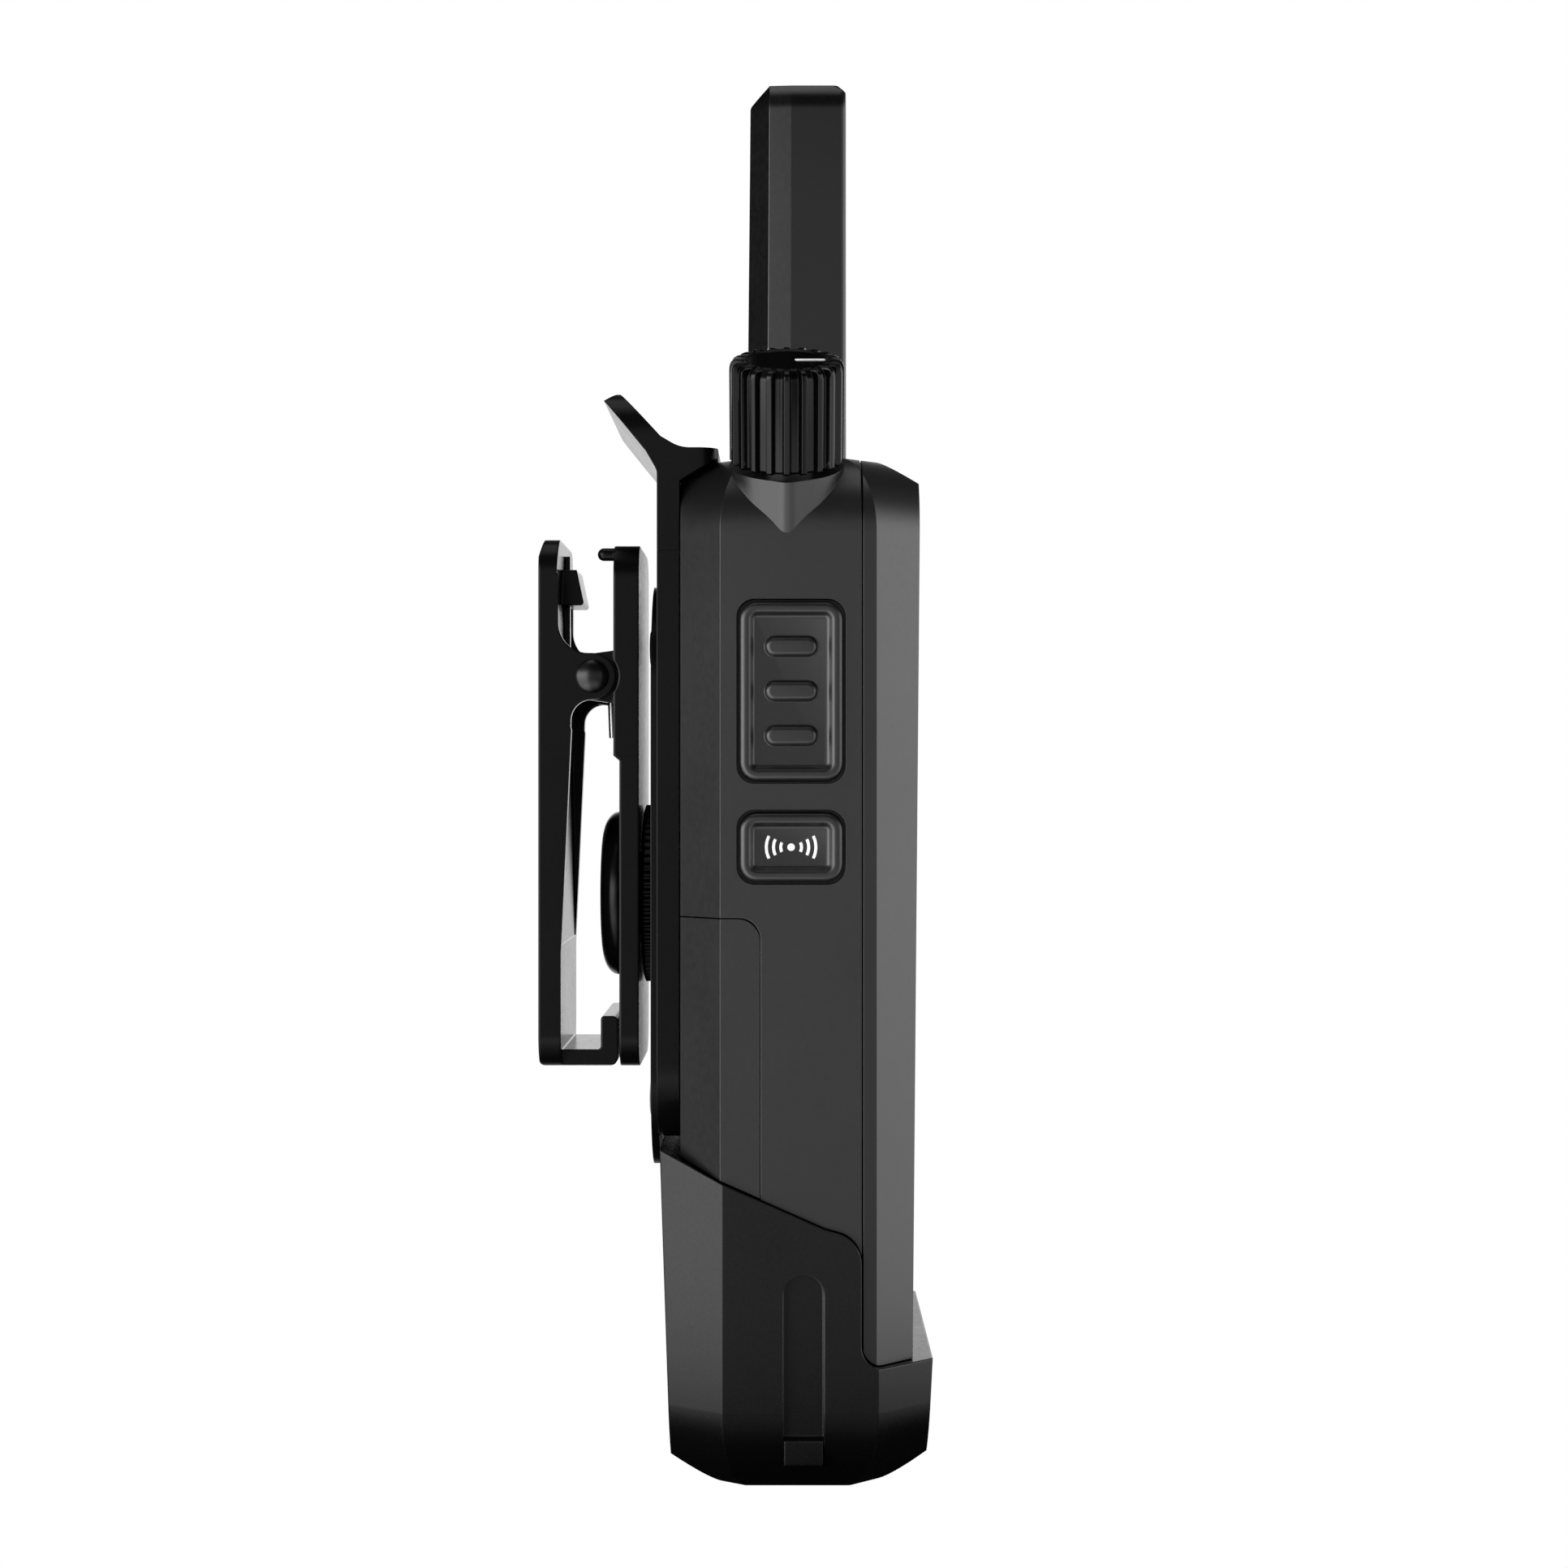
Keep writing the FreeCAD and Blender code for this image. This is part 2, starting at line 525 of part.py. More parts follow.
def antenna():
    near = "antenna_x - antenna_half"
    far = "antenna_x + antenna_half"
    above = [
        (f"{near} + 3.0", "antenna_back"), (f"{near} + 0.7", "antenna_back - 2.3"),
        (near, "antenna_back - 5.2"), (near, "antenna_front + 1.2"),
        (f"{near} + 1.2", "antenna_front"), (f"{far} - 1.2", "antenna_front"),
        (far, "antenna_front + 1.2"), (far, "antenna_back - 5.2"),
        (f"{far} - 0.7", "antenna_back - 2.3"), (f"{far} - 3.0", "antenna_back"),
    ]
    front_view = [(near, "body_top"), (far, "body_top"), (f"{far} - 0.5", "antenna_top"),
                  (f"{near} + 0.5", "antenna_top")]
    side_view = [
        ("antenna_front", "body_top"), ("antenna_back", "body_top"),
        ("antenna_back_top", "antenna_top - antenna_cut"),
        ("antenna_back_top - antenna_cut", "antenna_top"),
        ("antenna_front + 0.8", "antenna_top"), ("antenna_front", "antenna_top - 0.8"),
    ]
    blade = form("antenna_blade", (front_view, "-20", "20"), (side_view, "0", "40"),
                 [prism("antenna_above", "above", above, "body_top", "antenna_top")],
                 ((2, "antenna_round"), (3, "antenna_round")))
    spigot = box("antenna_spigot", ("antenna_x - spigot_half_x", "antenna_x + spigot_half_x"),
                 ("-spigot_half_y", "spigot_half_y"), ("spigot_low", "body_top + 1"))
    hollow = rod("antenna_hollow", "3", "antenna_top - spigot_low - antenna_wall", "antenna_x",
                 "0", "spigot_low")
    node("antenna_cover", cut("antenna_cover", join("antenna_solid", blade, spigot), hollow))
    stem = rod("radiator_stem", "0.9", "44", "antenna_x", "0", "spigot_low - 2")
    coil = rod("radiator_coil", "2.6", "22", "antenna_x", "0", "spigot_low + 6")
    node("antenna_element", join("antenna_element", stem, coil))
    flange = box("socket_block", ("antenna_x - 5", "antenna_x + 5"), ("-4.6", "4.6"),
                 ("spigot_low - 9", "spigot_low - 0.1"))
    bore = rod("socket_bore", "0.95", "3", "antenna_x", "0", "spigot_low - 3")
    node("antenna_base", cut("antenna_base", flange, bore))


def body_sketch(body, name, lift):
    """A sketch on the body's own XY plane, raised by an expression."""
    sketch = body.newObject("Sketcher::SketchObject", name)
    plane = next(f for f in body.Origin.OriginFeatures if f.Role == "XY_Plane")
    sketch.AttachmentSupport = [(plane, "")]
    sketch.MapMode = "FlatFace"
    sketch.setExpression("AttachmentOffset.Base.z", words(lift))
    return sketch


def circle_sketch(body, name, lift, radius):
    sketch = body_sketch(body, name, lift)
    sketch.addGeometry(Part.Circle(V(), V(0, 0, 1), 1))
    sketch.addConstraint(Sketcher.Constraint("Coincident", 0, 3, -1, 1))
    index = sketch.addConstraint(Sketcher.Constraint("Radius", 0, 1))
    sketch.setExpression(f"Constraints[{index}]", words(radius))
    return sketch


def block_sketch(body, name, lift, x, y):
    sketch = body_sketch(body, name, lift)
    ring = [V(0, 0, 0), V(1, 0, 0), V(1, 1, 0), V(0, 1, 0)]
    for i in range(4):
        sketch.addGeometry(Part.LineSegment(ring[i], ring[(i + 1) % 4]))
    for i in range(4):
        sketch.addConstraint(Sketcher.Constraint("Coincident", i, 2, (i + 1) % 4, 1))
    corners = [(x[0], y[0]), (x[1], y[0]), (x[1], y[1]), (x[0], y[1])]
    for i, corner in enumerate(corners):
        for kind, text, now in (("DistanceX", corner[0], ring[i].x), ("DistanceY", corner[1], ring[i].y)):
            index = sketch.addConstraint(Sketcher.Constraint(kind, -1, 1, i, 1, now))
            sketch.setExpression(f"Constraints[{index}]", words(text))
    return sketch


def pad(body, name, sketch, length):
    feature = body.newObject("PartDesign::Pad", name)
    feature.Profile = sketch
    feature.setExpression("Length", words(length))
    return feature


def pocket(body, name, sketch, length, upward=False):
    feature = body.newObject("PartDesign::Pocket", name)
    feature.Profile = sketch
    feature.Reversed = upward
    feature.setExpression("Length", words(length))
    return feature


def knob_cap():
    """A ribbed cap: a core, twenty ribs round it, a recessed top and a blind bore."""
    body = doc.addObject("PartDesign::Body", "KnobCap")
    pad(body, "Core", circle_sketch(body, "CoreCircle", "0", "knob_radius"), "knob_tall")
    doc.recompute()
    rib = pad(body, "Rib", block_sketch(body, "RibFoot", "0", ("knob_radius - 1", "rib_radius"),
              ("-rib_wide / 2", "rib_wide / 2")), "rib_tall")
    doc.recompute()
    ribs = body.newObject("PartDesign::PolarPattern", "Ribs")
    ribs.Originals = [rib]
    ribs.Axis = (next(f for f in body.Origin.OriginFeatures if f.Role == "Z_Axis"), [""])
    ribs.Angle = 360
    ribs.Occurrences = 20
    body.Tip = ribs
    doc.recompute()
    pocket(body, "Recess", circle_sketch(body, "RecessCircle", "knob_tall", "recess_radius"),
           "knob_recess")
    doc.recompute()
    pocket(body, "Bore", circle_sketch(body, "BoreCircle", "0", "shaft_radius"), "shaft_up", True)
    doc.recompute()
    tip = body.Tip
    rims = [f"Edge{n}" for n, edge in enumerate(tip.Shape.Edges, start=1)
            if edge.Curve.TypeId == "Part::GeomCircle"
            and abs(edge.BoundBox.ZMin - size("knob_tall")) < 1e-4
            and edge.BoundBox.ZLength < 1e-4]
    ease = body.newObject("PartDesign::Chamfer", "RimChamfer")
    ease.Base = (tip, rims)
    ease.Size = size("knob_recess") / 2
    body.Placement = FreeCAD.Placement(V(), FreeCAD.Rotation(V(0, 1, 0), -size("knob_tilt")))
    place(body, "knob_x", "knob_y", "knob_z")
    node("knob_cap", body)


def knob_works():
    node("knob_shaft", boss_rod("knob_shaft", "shaft_radius", "-boss_gap - boss_cap - 0.4",
                                "shaft_up"))
    body = doc.addObject("PartDesign::Body", "KnobPointer")
    foot = block_sketch(body, "PointerFoot", "knob_tall - knob_recess",
                        ("-pointer_wide / 2", "pointer_wide / 2"),
                        ("-pointer_start - pointer_long", "-pointer_start"))
    pad(body, "PointerBar", foot, "0.2")
    body.Placement = FreeCAD.Placement(V(), FreeCAD.Rotation(V(0, 1, 0), -size("knob_tilt")))
    place(body, "knob_x", "knob_y", "knob_z")
    node("knob_pointer", body)
    node("volume_encoder", boss_rod("volume_encoder", "encoder_radius", "-boss_deep - 1.5",
                                    "-boss_gap - boss_cap - 0.5"))


# ---------------------------------------------------------------- side buttons

def side_block(name, z, half_z, grow, start, stop, round_cell="button_round"):
    points = [(f"button_y - button_half - {grow}", f"{z} - {half_z} - {grow}"),
              (f"button_y + button_half + {grow}", f"{z} - {half_z} - {grow}"),
              (f"button_y + button_half + {grow}", f"{z} + {half_z} + {grow}"),
              (f"button_y - button_half - {grow}", f"{z} + {half_z} + {grow}")]
    return prism(name, "side", points, start, stop, rounds=tuple((i, round_cell) for i in range(4)))


def side_button(label, z, half_z, ridges):
    """A button through the side wall: rim, dished face, ridges and a flange behind the wall."""
    face = "-half_width - button_proud"
    block = side_block(label + "_block", z, half_z, "0", face, "-flange_face + 0.2")
    doc.recompute()
    block = soften(label + "_eased", block, 0.45,
                   lambda e: abs(e.BoundBox.XMax + size("half_width") + size("button_proud")) < 1e-4)
    flange = side_block(label + "_flange", z, half_z, "flange_wide", "-flange_face",
                        "-flange_face + flange_thick")
    dish = side_block(label + "_dish", z, half_z, "(-button_rim)", face, f"{face} + dish_deep",
                      "dish_round")
    button = join(label + "_whole", cut(label + "_dished", block, dish), flange)
    bars = []
    for i in ridges:
        level = f"{z} + {i} * ridge_pitch"
        points = [("button_y - ridge_half", f"{level} - ridge_high"),
                  ("button_y + ridge_half", f"{level} - ridge_high"),
                  ("button_y + ridge_half", f"{level} + ridge_high"),
                  ("button_y - ridge_half", f"{level} + ridge_high")]
        bars.append(prism(f"{label}_ridge_{i + 1}", "side", points, f"{face} + 0.05",
                          f"{face} + dish_deep + 0.2",
                          rounds=tuple((k, "ridge_round") for k in range(4))))
    node(label, join(label, button, *bars) if bars else button)


def side_switch(label, z, half_z):
    """A dome switch on its little board, behind a button."""
    board = box(label + "_board", ("-switch_top + 0.6", "-switch_top + switch_deep"),
                ("button_y - 4", "button_y + 4"), (f"{z} - {half_z} + 1", f"{z} + {half_z} - 1"))
    dome = rod(label + "_dome", "2.2", "0.9", "-switch_top", "button_y", z, "X")
    node(label, join(label, board, dome))


# ---------------------------------------------------------------- front and insides

def front_parts():
    node("display_lens", box(
        "display_lens", ("-display_half_x", "display_half_x"),
        ("front_face + 0.35", "front_face + 0.35 + lens_thick"),
        ("display_z - display_half_z", "display_z + display_half_z")))
    frame = box("display_tray", ("-display_half_x - 1", "display_half_x + 1"),
                ("front_face + wall + 0.6", "seam + 1"),
                ("display_z - display_half_z - 1", "display_z + display_half_z + 1"))
    node("display_module", frame)
    for label, i in (("menu_key", -1), ("up_key", 0), ("down_key", 1)):
        key = box(label + "_top", (f"{i} * key_pitch - key_half_x", f"{i} * key_pitch + key_half_x"),
                  ("front_face - key_proud", "front_face + wall + 0.9"),
                  ("key_z - key_half_z", "key_z + key_half_z"))
        flange = box(label + "_flange", (f"{i} * key_pitch - key_half_x - 1",
                     f"{i} * key_pitch + key_half_x + 1"),
                     ("front_face + wall + 0.6", "front_face + wall + 1.3"),
                     ("key_z - key_half_z - 1", "key_z + key_half_z + 1"))
        whole = join(label + "_whole", key, flange)
        edge = size("front_face") - size("key_proud")
        node(label, soften(label, whole, 0.8, lambda e: abs(e.BoundBox.YMax - edge) < 1e-4))
    domes = [rod(f"key_dome_{i + 1}", "1.6", "1.0", f"{i} * key_pitch", "seam - 0.3", "key_z", "Y")
             for i in (-1, 0, 1)]
    strip = box("key_strip", ("-key_pitch - 4", "key_pitch + 4"), ("seam + 0.6", "seam + 1.4"),
                ("key_z - 4", "key_z + 4"))
    node("key_switches", join("key_switches", strip, *domes))
    node("status_lamp", rod("status_lamp", "1.25", "wall + 1.2", "lamp_x", "front_face + 2.3",
                            "lamp_z", "Y"))
    node("microphone", rod("microphone", "mic_radius", "3.2", "mic_x", "front_face + 6.1",
                           "mic_z", "Y"))


def speaker_parts():
    rim = rod("speaker_rim", "speaker_radius", "1.6", "0", "front_face + 3.7", "speaker_z", "Y")
    well = rod("speaker_well", "speaker_radius - 2.5", "1.0", "0", "front_face + 3.6",
               "speaker_z", "Y")
    magnet = rod("speaker_magnet", "8", "4.0", "0", "front_face + 5.2", "speaker_z", "Y")
    node("speaker", join("speaker", cut("speaker_frame", rim, well), magnet))
    node("speaker_cloth", rod("speaker_cloth", "speaker_radius", "0.4", "0", "front_face + 3.2",
                              "speaker_z", "Y"))


def inside_parts():
    board = box("board_blank", ("-19.8", "19.8"), ("-3.9", "-2.5"), ("10", "98"))
    room = rod("board_boss_room", "1.6", "4", "0", "-5", "66", "Y")
    node("main_board", cut("main_board", board, room))
    shield = box("shield_can", ("-12", "12"), ("-2.45", "0.8"), ("66", "98"))
    node("shield_can", shield)
    cells = [rod(f"cell_{i + 1}", "5.1", "pack_top - pack_low", f"{i} * 12", "4.2", "pack_low")
             for i in (-1, 0, 1)]
    wrap = box("pack_wrap", ("-12", "12"), ("0.4", "8.0"), ("pack_low", "pack_top"))
    node("battery_pack", join("battery_pack", wrap, *cells))
    tabs = [box(f"contact_tab_{i}", (x, f"{x} + 4"), ("1.5", "6.5"), ("pack_top + 0.1", "pack_top + 1.1"))
            for i, x in enumerate(("-14", "10"))]
    node("battery_contacts", group("battery_contacts", *tabs))
    studs = [rod(f"charge_stud_{i}", "2", "2.1", x, "0", "0.25") for i, x in enumerate(("-8", "8"))]
    node("charge_contacts", group("charge_contacts", *studs))
    heads = screw_rods("screw_head", "2.3", "body_back - wall - 0.2", "body_back - 0.4")
    shanks = screw_rods("screw_shank", "1.0", "body_back - 9", "body_back - wall - 0.1")
    screws = [join(f"screw_{i}", head, shank)
              for i, (head, shank) in enumerate(zip(heads, shanks))]
    node("housing_screws", group("housing_screws", *screws))


# ---------------------------------------------------------------- holster and clip

def holster():
    plate = prism("plate_stock", "front",
                  [("-plate_half", "plate_low"), ("plate_half", "plate_low"),
                   ("plate_half", "plate_top"), ("-plate_half", "plate_top")],
                  "plate_front", "plate_back", rounds=((0, "plate_round"), (1, "plate_round")))
    node("holster_plate", plate)
    pad_solid = prism("pad_stock", "front",
                      [("-pad_half", "pad_low"), ("pad_half", "pad_low"), ("pad_half", "pad_top"),
                       ("-pad_half", "pad_top")], "plate_back + 0.02", "pad_back",
                      rounds=tuple((i, "pad_round") for i in range(4)))
    node("swivel_pad", pad_solid)
    heads = [rod(f"pad_screw_{i}", "2.4", "0.8", "0", "pad_back", z, "Y")
             for i, z in enumerate(("42", "96"))]
    node("pad_screws", group("pad_screws", *heads))


def latch():
    """The flexing head of the holster: a neck, a hook over the casing and a thumb lever."""
    points = [
        ("plate_front", "latch_low"), ("plate_back", "latch_low"), ("plate_back", "lever_root"),
        ("bend_back", "bend_low"), ("tip_back", "tip_top - 1.05"), ("tip_back - 1.45", "tip_top"),
        ("tip_back - 1.85", "tip_top - 0.15"), ("bend_front", "bend_high"),
        ("hook_root", "hook_top"), ("hook_front", "hook_top"), ("hook_front", "body_top - 0.12"),
        ("plate_front", "top_back + 0.1"),
    ]
    head = prism("latch_stock", "side", points, "-plate_half", "plate_half",
                 rounds=((2, "bend_round"), (8, "hook_round")))
    above = prism("latch_above", "above",
                  [("-plate_half", "hook_front"), ("plate_half", "hook_front"),
                   ("plate_half", "tip_back + 1"), ("-plate_half", "tip_back + 1")], "90", "130",
                  rounds=((0, "hook_corner"), (1, "hook_corner")))
    front = prism("latch_front", "front",
                  [("-plate_half", "90"), ("plate_half", "90"), ("plate_half", "tip_top"),
                   ("-plate_half", "tip_top")], "0", "40",
                  rounds=((2, "tip_corner"), (3, "tip_corner")))
    node("latch_lever", shared("latch_lever", head, above, front))


def swivel():
    hub = rod("hub_disc", "hub_radius", "hub_back - pad_back", "0", "pad_back", "hub_z", "Y")
    post = rod("hub_post", "post_radius", "head_front - pad_back", "0", "pad_back", "hub_z", "Y")
    node("swivel_hub", join("swivel_hub", hub, post))
    disc = rod("head_disc", "head_radius", "head_back - head_front", "0", "head_front", "hub_z", "Y")
    rim = soften("head_eased", disc, size("head_round"),
                 lambda e: abs(e.BoundBox.YMin - size("head_back")) < 1e-4)
    seat = rod("head_seat", "2.6", "1.2", "0", "head_back - 1.0", "hub_z", "Y")
    node("swivel_head", cut("swivel_head", rim, seat))
    node("swivel_screw", rod("swivel_screw", "2.4", "0.9", "0", "head_back - 0.98", "hub_z", "Y"))


def clip_base():
    side = [
        ("base_front", "base_low"), ("base_back", "base_low"), ("base_back", "base_step - 0.6"),
        ("base_back_high", "base_step"), ("base_back_high", "base_top"), ("base_front", "base_top"),
    ]
    front = [("-base_half", "base_low"), ("base_half", "base_low"), ("base_half", "base_top"),
             ("-base_half", "base_top")]
    plate = shared("base_plate", prism("base_side", "side", side, "-base_half", "base_half"),
                   prism("base_front_view", "front", front, "0", "40",
                         rounds=tuple((i, "base_round") for i in range(4))))
    knuckles = []
    ear_room = []
    for i, s in enumerate((-1, 1)):
        low, high = ("-knuckle_out", "-knuckle_in") if s < 0 else ("knuckle_in", "knuckle_out")
        knuckles.append(prism(
            f"knuckle_{i}", "side",
            [("base_back_high - 0.5", "pin_z - knuckle_half_z"),
             ("knuckle_back - 1.4", "pin_z - knuckle_half_z + 0.5"),
             ("knuckle_back", "pin_z - 1.3"), ("knuckle_back", "pin_z + 1.3"),
             ("knuckle_back - 1.4", "pin_z + knuckle_half_z - 0.5"),
             ("base_back_high - 0.5", "pin_z + knuckle_half_z")], low, high))
        start = "-base_half - 1" if s < 0 else "knuckle_out + 0.02"
        ear_room.append(rod(f"ear_room_{i}", "ear_radius + ear_clear",
                            "base_half - knuckle_out + 1", start, "pin_y", "pin_z", "X"))
    holes = join("base_holes", *ear_room,
                 rod("post_bore", "post_radius + post_gap", "10", "0", "15", "hub_z", "Y"),
                 rod("pin_bore", "pin_radius", "60", "-30", "pin_y", "pin_z", "X"))
    stub = rod("base_stub", "stub_radius", "stub_long + 0.5", "stub_x", "base_back_high - 0.5",
               "stub_z", "Y")
    end = ball("base_stub_end", "stub_radius", "stub_x", "base_back_high + stub_long", "stub_z")
    node("clip_base", cut("clip_base", join("base_solid", plate, stub, end, *knuckles), holes))


def hinge_pin():
    pin = rod("pin_rod", "pin_radius", "2 * arm_half + 0.2", "-arm_half - 0.1", "pin_y", "pin_z", "X")
    heads = []
    for i, s in enumerate((-1, 1)):
        start = "-arm_half - 0.1 - pin_out" if s < 0 else "arm_half + 0.1"
        blank = rod(f"pin_blank_{i}", "pin_head", "pin_out", start, "pin_y", "pin_z", "X")
        dome = ball(f"pin_dome_{i}", "pin_dome", f"{s} * (arm_half + 0.1 + pin_out - pin_dome)",
                    "pin_y", "pin_z")
        heads.append(shared(f"pin_head_{i}", blank, dome))
    node("hinge_pin", join("hinge_pin", pin, *heads))


def clip_spring():
    """A torsion spring between the knuckles: close coils round the pin."""
    coil = rod("spring_outer", "spring_radius", "2 * spring_half", "-spring_half", "pin_y", "pin_z",
               "X")
    core = rod("spring_inner", "spring_radius - 2 * spring_wire", "2 * spring_half + 2",
               "-spring_half - 1", "pin_y", "pin_z", "X")
    node("clip_spring", cut("clip_spring", coil, core))


def clip_arm():
    """The sprung arm: a plate, two ears round the pin, a toe at the foot and a catch tooth."""
    blade = prism(
        "arm_blade", "side",
        [("arm_front_top", "arm_top"), ("arm_front_top + 0.3", "pin_z + 9"),
         ("arm_front_top - 0.4", "pin_z - 2"), ("arm_front_mid", "86"),
         ("arm_front_low", "60"), ("arm_front_low", "arm_low"), ("arm_back", "arm_low"),
         ("arm_back", "arm_top - 2.2"), ("arm_back - 0.55", "arm_top")],
        "-arm_half", "arm_half", rounds=((6, "arm_outer"),))
    toe = prism(
        "arm_toe", "side",
        [("arm_front_low + 0.5", "toe_high"), ("toe_back", "toe_high"), ("toe_back", "toe_tip"),
         ("toe_front", "toe_tip"), ("toe_front", "arm_low"), ("arm_front_low + 0.5", "arm_low")],
        "-toe_half", "toe_half", rounds=((1, "arm_inner"), (2, "arm_inner"), (3, "arm_outer"),
                                         (4, "toe_round")))
    ears = []
    for i, s in enumerate((-1, 1)):
        low = "-arm_half" if s < 0 else "arm_half - ear_thick"
        high = "-arm_half + ear_thick" if s < 0 else "arm_half"
        disc = rod(f"ear_disc_{i}", "ear_radius", "ear_thick", low, "pin_y", "pin_z", "X")
        web = prism(f"ear_web_{i}", "side",
                    [("pin_y", "pin_z + ear_radius"), ("pin_y", "pin_z - ear_radius"),
                     ("arm_front_mid", "pin_z - ear_radius"), ("arm_front_mid + 0.2", "pin_z - 10"),
                     ("arm_back - 1", "pin_z - 10"), ("arm_back - 1", "pin_z + 12"),
                     ("arm_front_top", "pin_z + 12"), ("arm_front_top", "pin_z + ear_radius")],
                    low, high, rounds=((2, "ear_fillet"), (7, "ear_fillet_top")))
        ears.extend((disc, web))
    bore = rod("arm_pin_bore", "pin_radius + pin_gap", "60", "-30", "pin_y", "pin_z", "X")
    tooth = prism("arm_tooth", "side",
                  [("arm_front_top + 0.6", "tooth_low"), ("tooth_front", "tooth_low"),
                   ("tooth_front_high", "tooth_high"), ("arm_front_top + 0.6", "tooth_high")],
                  "-tooth_half", "tooth_half", rounds=((1, "arm_inner"),))
    rib = box("arm_rib", ("-0.8", "0.8"), ("rib_face", "arm_front_top + 0.6"),
              ("rib_low", "rib_high"))
    hollow = prism("arm_hollow", "side",
                   [("20", "hollow_low"), ("arm_front_low + 0.05", "hollow_low"),
                    ("hollow_face", "hollow_low + 22"), ("hollow_face", "hollow_high"),
                    ("20", "hollow_high")], "-hollow_half", "hollow_half")
    solid = join("arm_solid", cut("arm_hollowed", blade, hollow), toe, tooth, rib, *ears)
    trimmed = shared("arm_trimmed", solid, prism(
        "arm_front_view", "front",
        [("-arm_half", "arm_low"), ("arm_half", "arm_low"), ("arm_half", "arm_top"),
         ("-arm_half", "arm_top")], "0", "40", rounds=tuple((i, "base_round") for i in range(4))))
    node("clip_arm", cut("clip_arm", trimmed, bore))


def build():
    shell = casing_shell()
    rear_housing(shell)
    battery_door()
    front_cover(shell)
    seal_gasket()
    bottom_boot()
    antenna()
    knob_cap()
    knob_works()
    side_button("ptt_button", "ptt_z", "ptt_half", (-1, 0, 1))
    side_button("call_button", "call_z", "call_half", ())
    side_switch("ptt_switch", "ptt_z", "ptt_half")
    side_switch("call_switch", "call_z", "call_half")
    front_parts()
    speaker_parts()
    inside_parts()
    holster()
    latch()
    swivel()
    clip_base()
    hinge_pin()
    clip_spring()
    clip_arm()


def export():
    doc.recompute()
    failed = [o.Name for o in doc.Objects if {"Invalid", "Error"} & set(o.State)]
    if failed:
        raise RuntimeError(f"objects failed to recompute: {failed}")
    os.makedirs("parts", exist_ok=True)
    for thing in NODES:
        shape = thing.Shape
        if shape.isNull() or not shape.isValid() or not shape.Solids:
            raise RuntimeError(f"{thing.Label} has no valid solid")
        shape.exportStep(f"parts/{thing.Label}.step")
        print(thing.Label, len(shape.Solids), "solid(s)", round(shape.Volume, 1), "mm3")


build()
export()
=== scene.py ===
"""Looks of the two-way radio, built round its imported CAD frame. Metres; front along -Y."""
import json
import math
import bpy
from mathutils import Matrix, Vector


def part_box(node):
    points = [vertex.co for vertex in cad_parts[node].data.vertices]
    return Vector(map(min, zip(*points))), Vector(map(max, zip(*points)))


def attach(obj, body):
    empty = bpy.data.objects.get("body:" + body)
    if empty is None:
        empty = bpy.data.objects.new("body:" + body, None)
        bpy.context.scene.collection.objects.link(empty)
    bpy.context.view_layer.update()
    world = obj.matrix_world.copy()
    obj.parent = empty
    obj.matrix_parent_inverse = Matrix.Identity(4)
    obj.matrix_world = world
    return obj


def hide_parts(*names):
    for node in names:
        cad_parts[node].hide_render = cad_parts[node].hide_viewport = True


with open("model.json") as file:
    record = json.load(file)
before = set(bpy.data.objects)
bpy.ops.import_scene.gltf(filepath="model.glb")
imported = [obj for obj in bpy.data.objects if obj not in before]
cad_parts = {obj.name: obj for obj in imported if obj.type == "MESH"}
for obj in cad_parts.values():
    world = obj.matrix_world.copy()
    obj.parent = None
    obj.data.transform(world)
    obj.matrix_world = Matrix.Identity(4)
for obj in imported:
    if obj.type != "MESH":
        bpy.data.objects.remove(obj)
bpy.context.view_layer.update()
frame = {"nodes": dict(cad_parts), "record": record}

MM = 0.001
NOISE_LOW, NOISE_HIGH = 0.3, 0.7  # where most of a noise's values lie
BODY = "radio"
JOINTS = {joint["name"]: joint for joint in frame["record"]["behaviour"]["joints"]}


# ---------------------------------------------------------------- node materials

class Nodes:
    """A small helper that adds shader nodes and links them."""

    def __init__(self, tree):
        self.tree = tree
        tree.nodes.clear()

    def add(self, kind, inputs=None, **settings):
        node = self.tree.nodes.new(kind)
        for key, value in settings.items():
            setattr(node, key, value)
        for key, value in (inputs or {}).items():
            if isinstance(value, bpy.types.NodeSocket):
                self.tree.links.new(value, node.inputs[key])
            else:
                node.inputs[key].default_value = value
        return node

    def math(self, operation, a, b=0.0, clamp=False):
        node = self.add("ShaderNodeMath", operation=operation, use_clamp=clamp)
        for i, value in enumerate((a, b)):
            if isinstance(value, bpy.types.NodeSocket):
                self.tree.links.new(value, node.inputs[i])
            else:
                node.inputs[i].default_value = value
        return node.outputs[0]

    def remap(self, value, low, high, to_low, to_high, kind="LINEAR"):
        node = self.add("ShaderNodeMapRange", {
            "Value": value, "From Min": low, "From Max": high,
            "To Min": to_low, "To Max": to_high}, interpolation_type=kind)
        return node.outputs["Result"]

    def noise(self, scale, detail=3.0, rough=0.55):
        place = self.add("ShaderNodeTexCoord").outputs["Object"]
        node = self.add("ShaderNodeTexNoise", {
            "Vector": place, "Scale": scale, "Detail": detail, "Roughness": rough})
        return node.outputs["Fac"]

    def mix(self, factor, a, b):
        node = self.add("ShaderNodeMix", data_type="RGBA")
        for socket, value in ((node.inputs[0], factor), (node.inputs[6], a), (node.inputs[7], b)):
            if isinstance(value, bpy.types.NodeSocket):
                self.tree.links.new(value, socket)
            else:
                socket.default_value = value
        return node.outputs[2]


def new_material(name):
    material = bpy.data.materials.new(name)
    material.use_nodes = True
    return material, Nodes(material.node_tree)


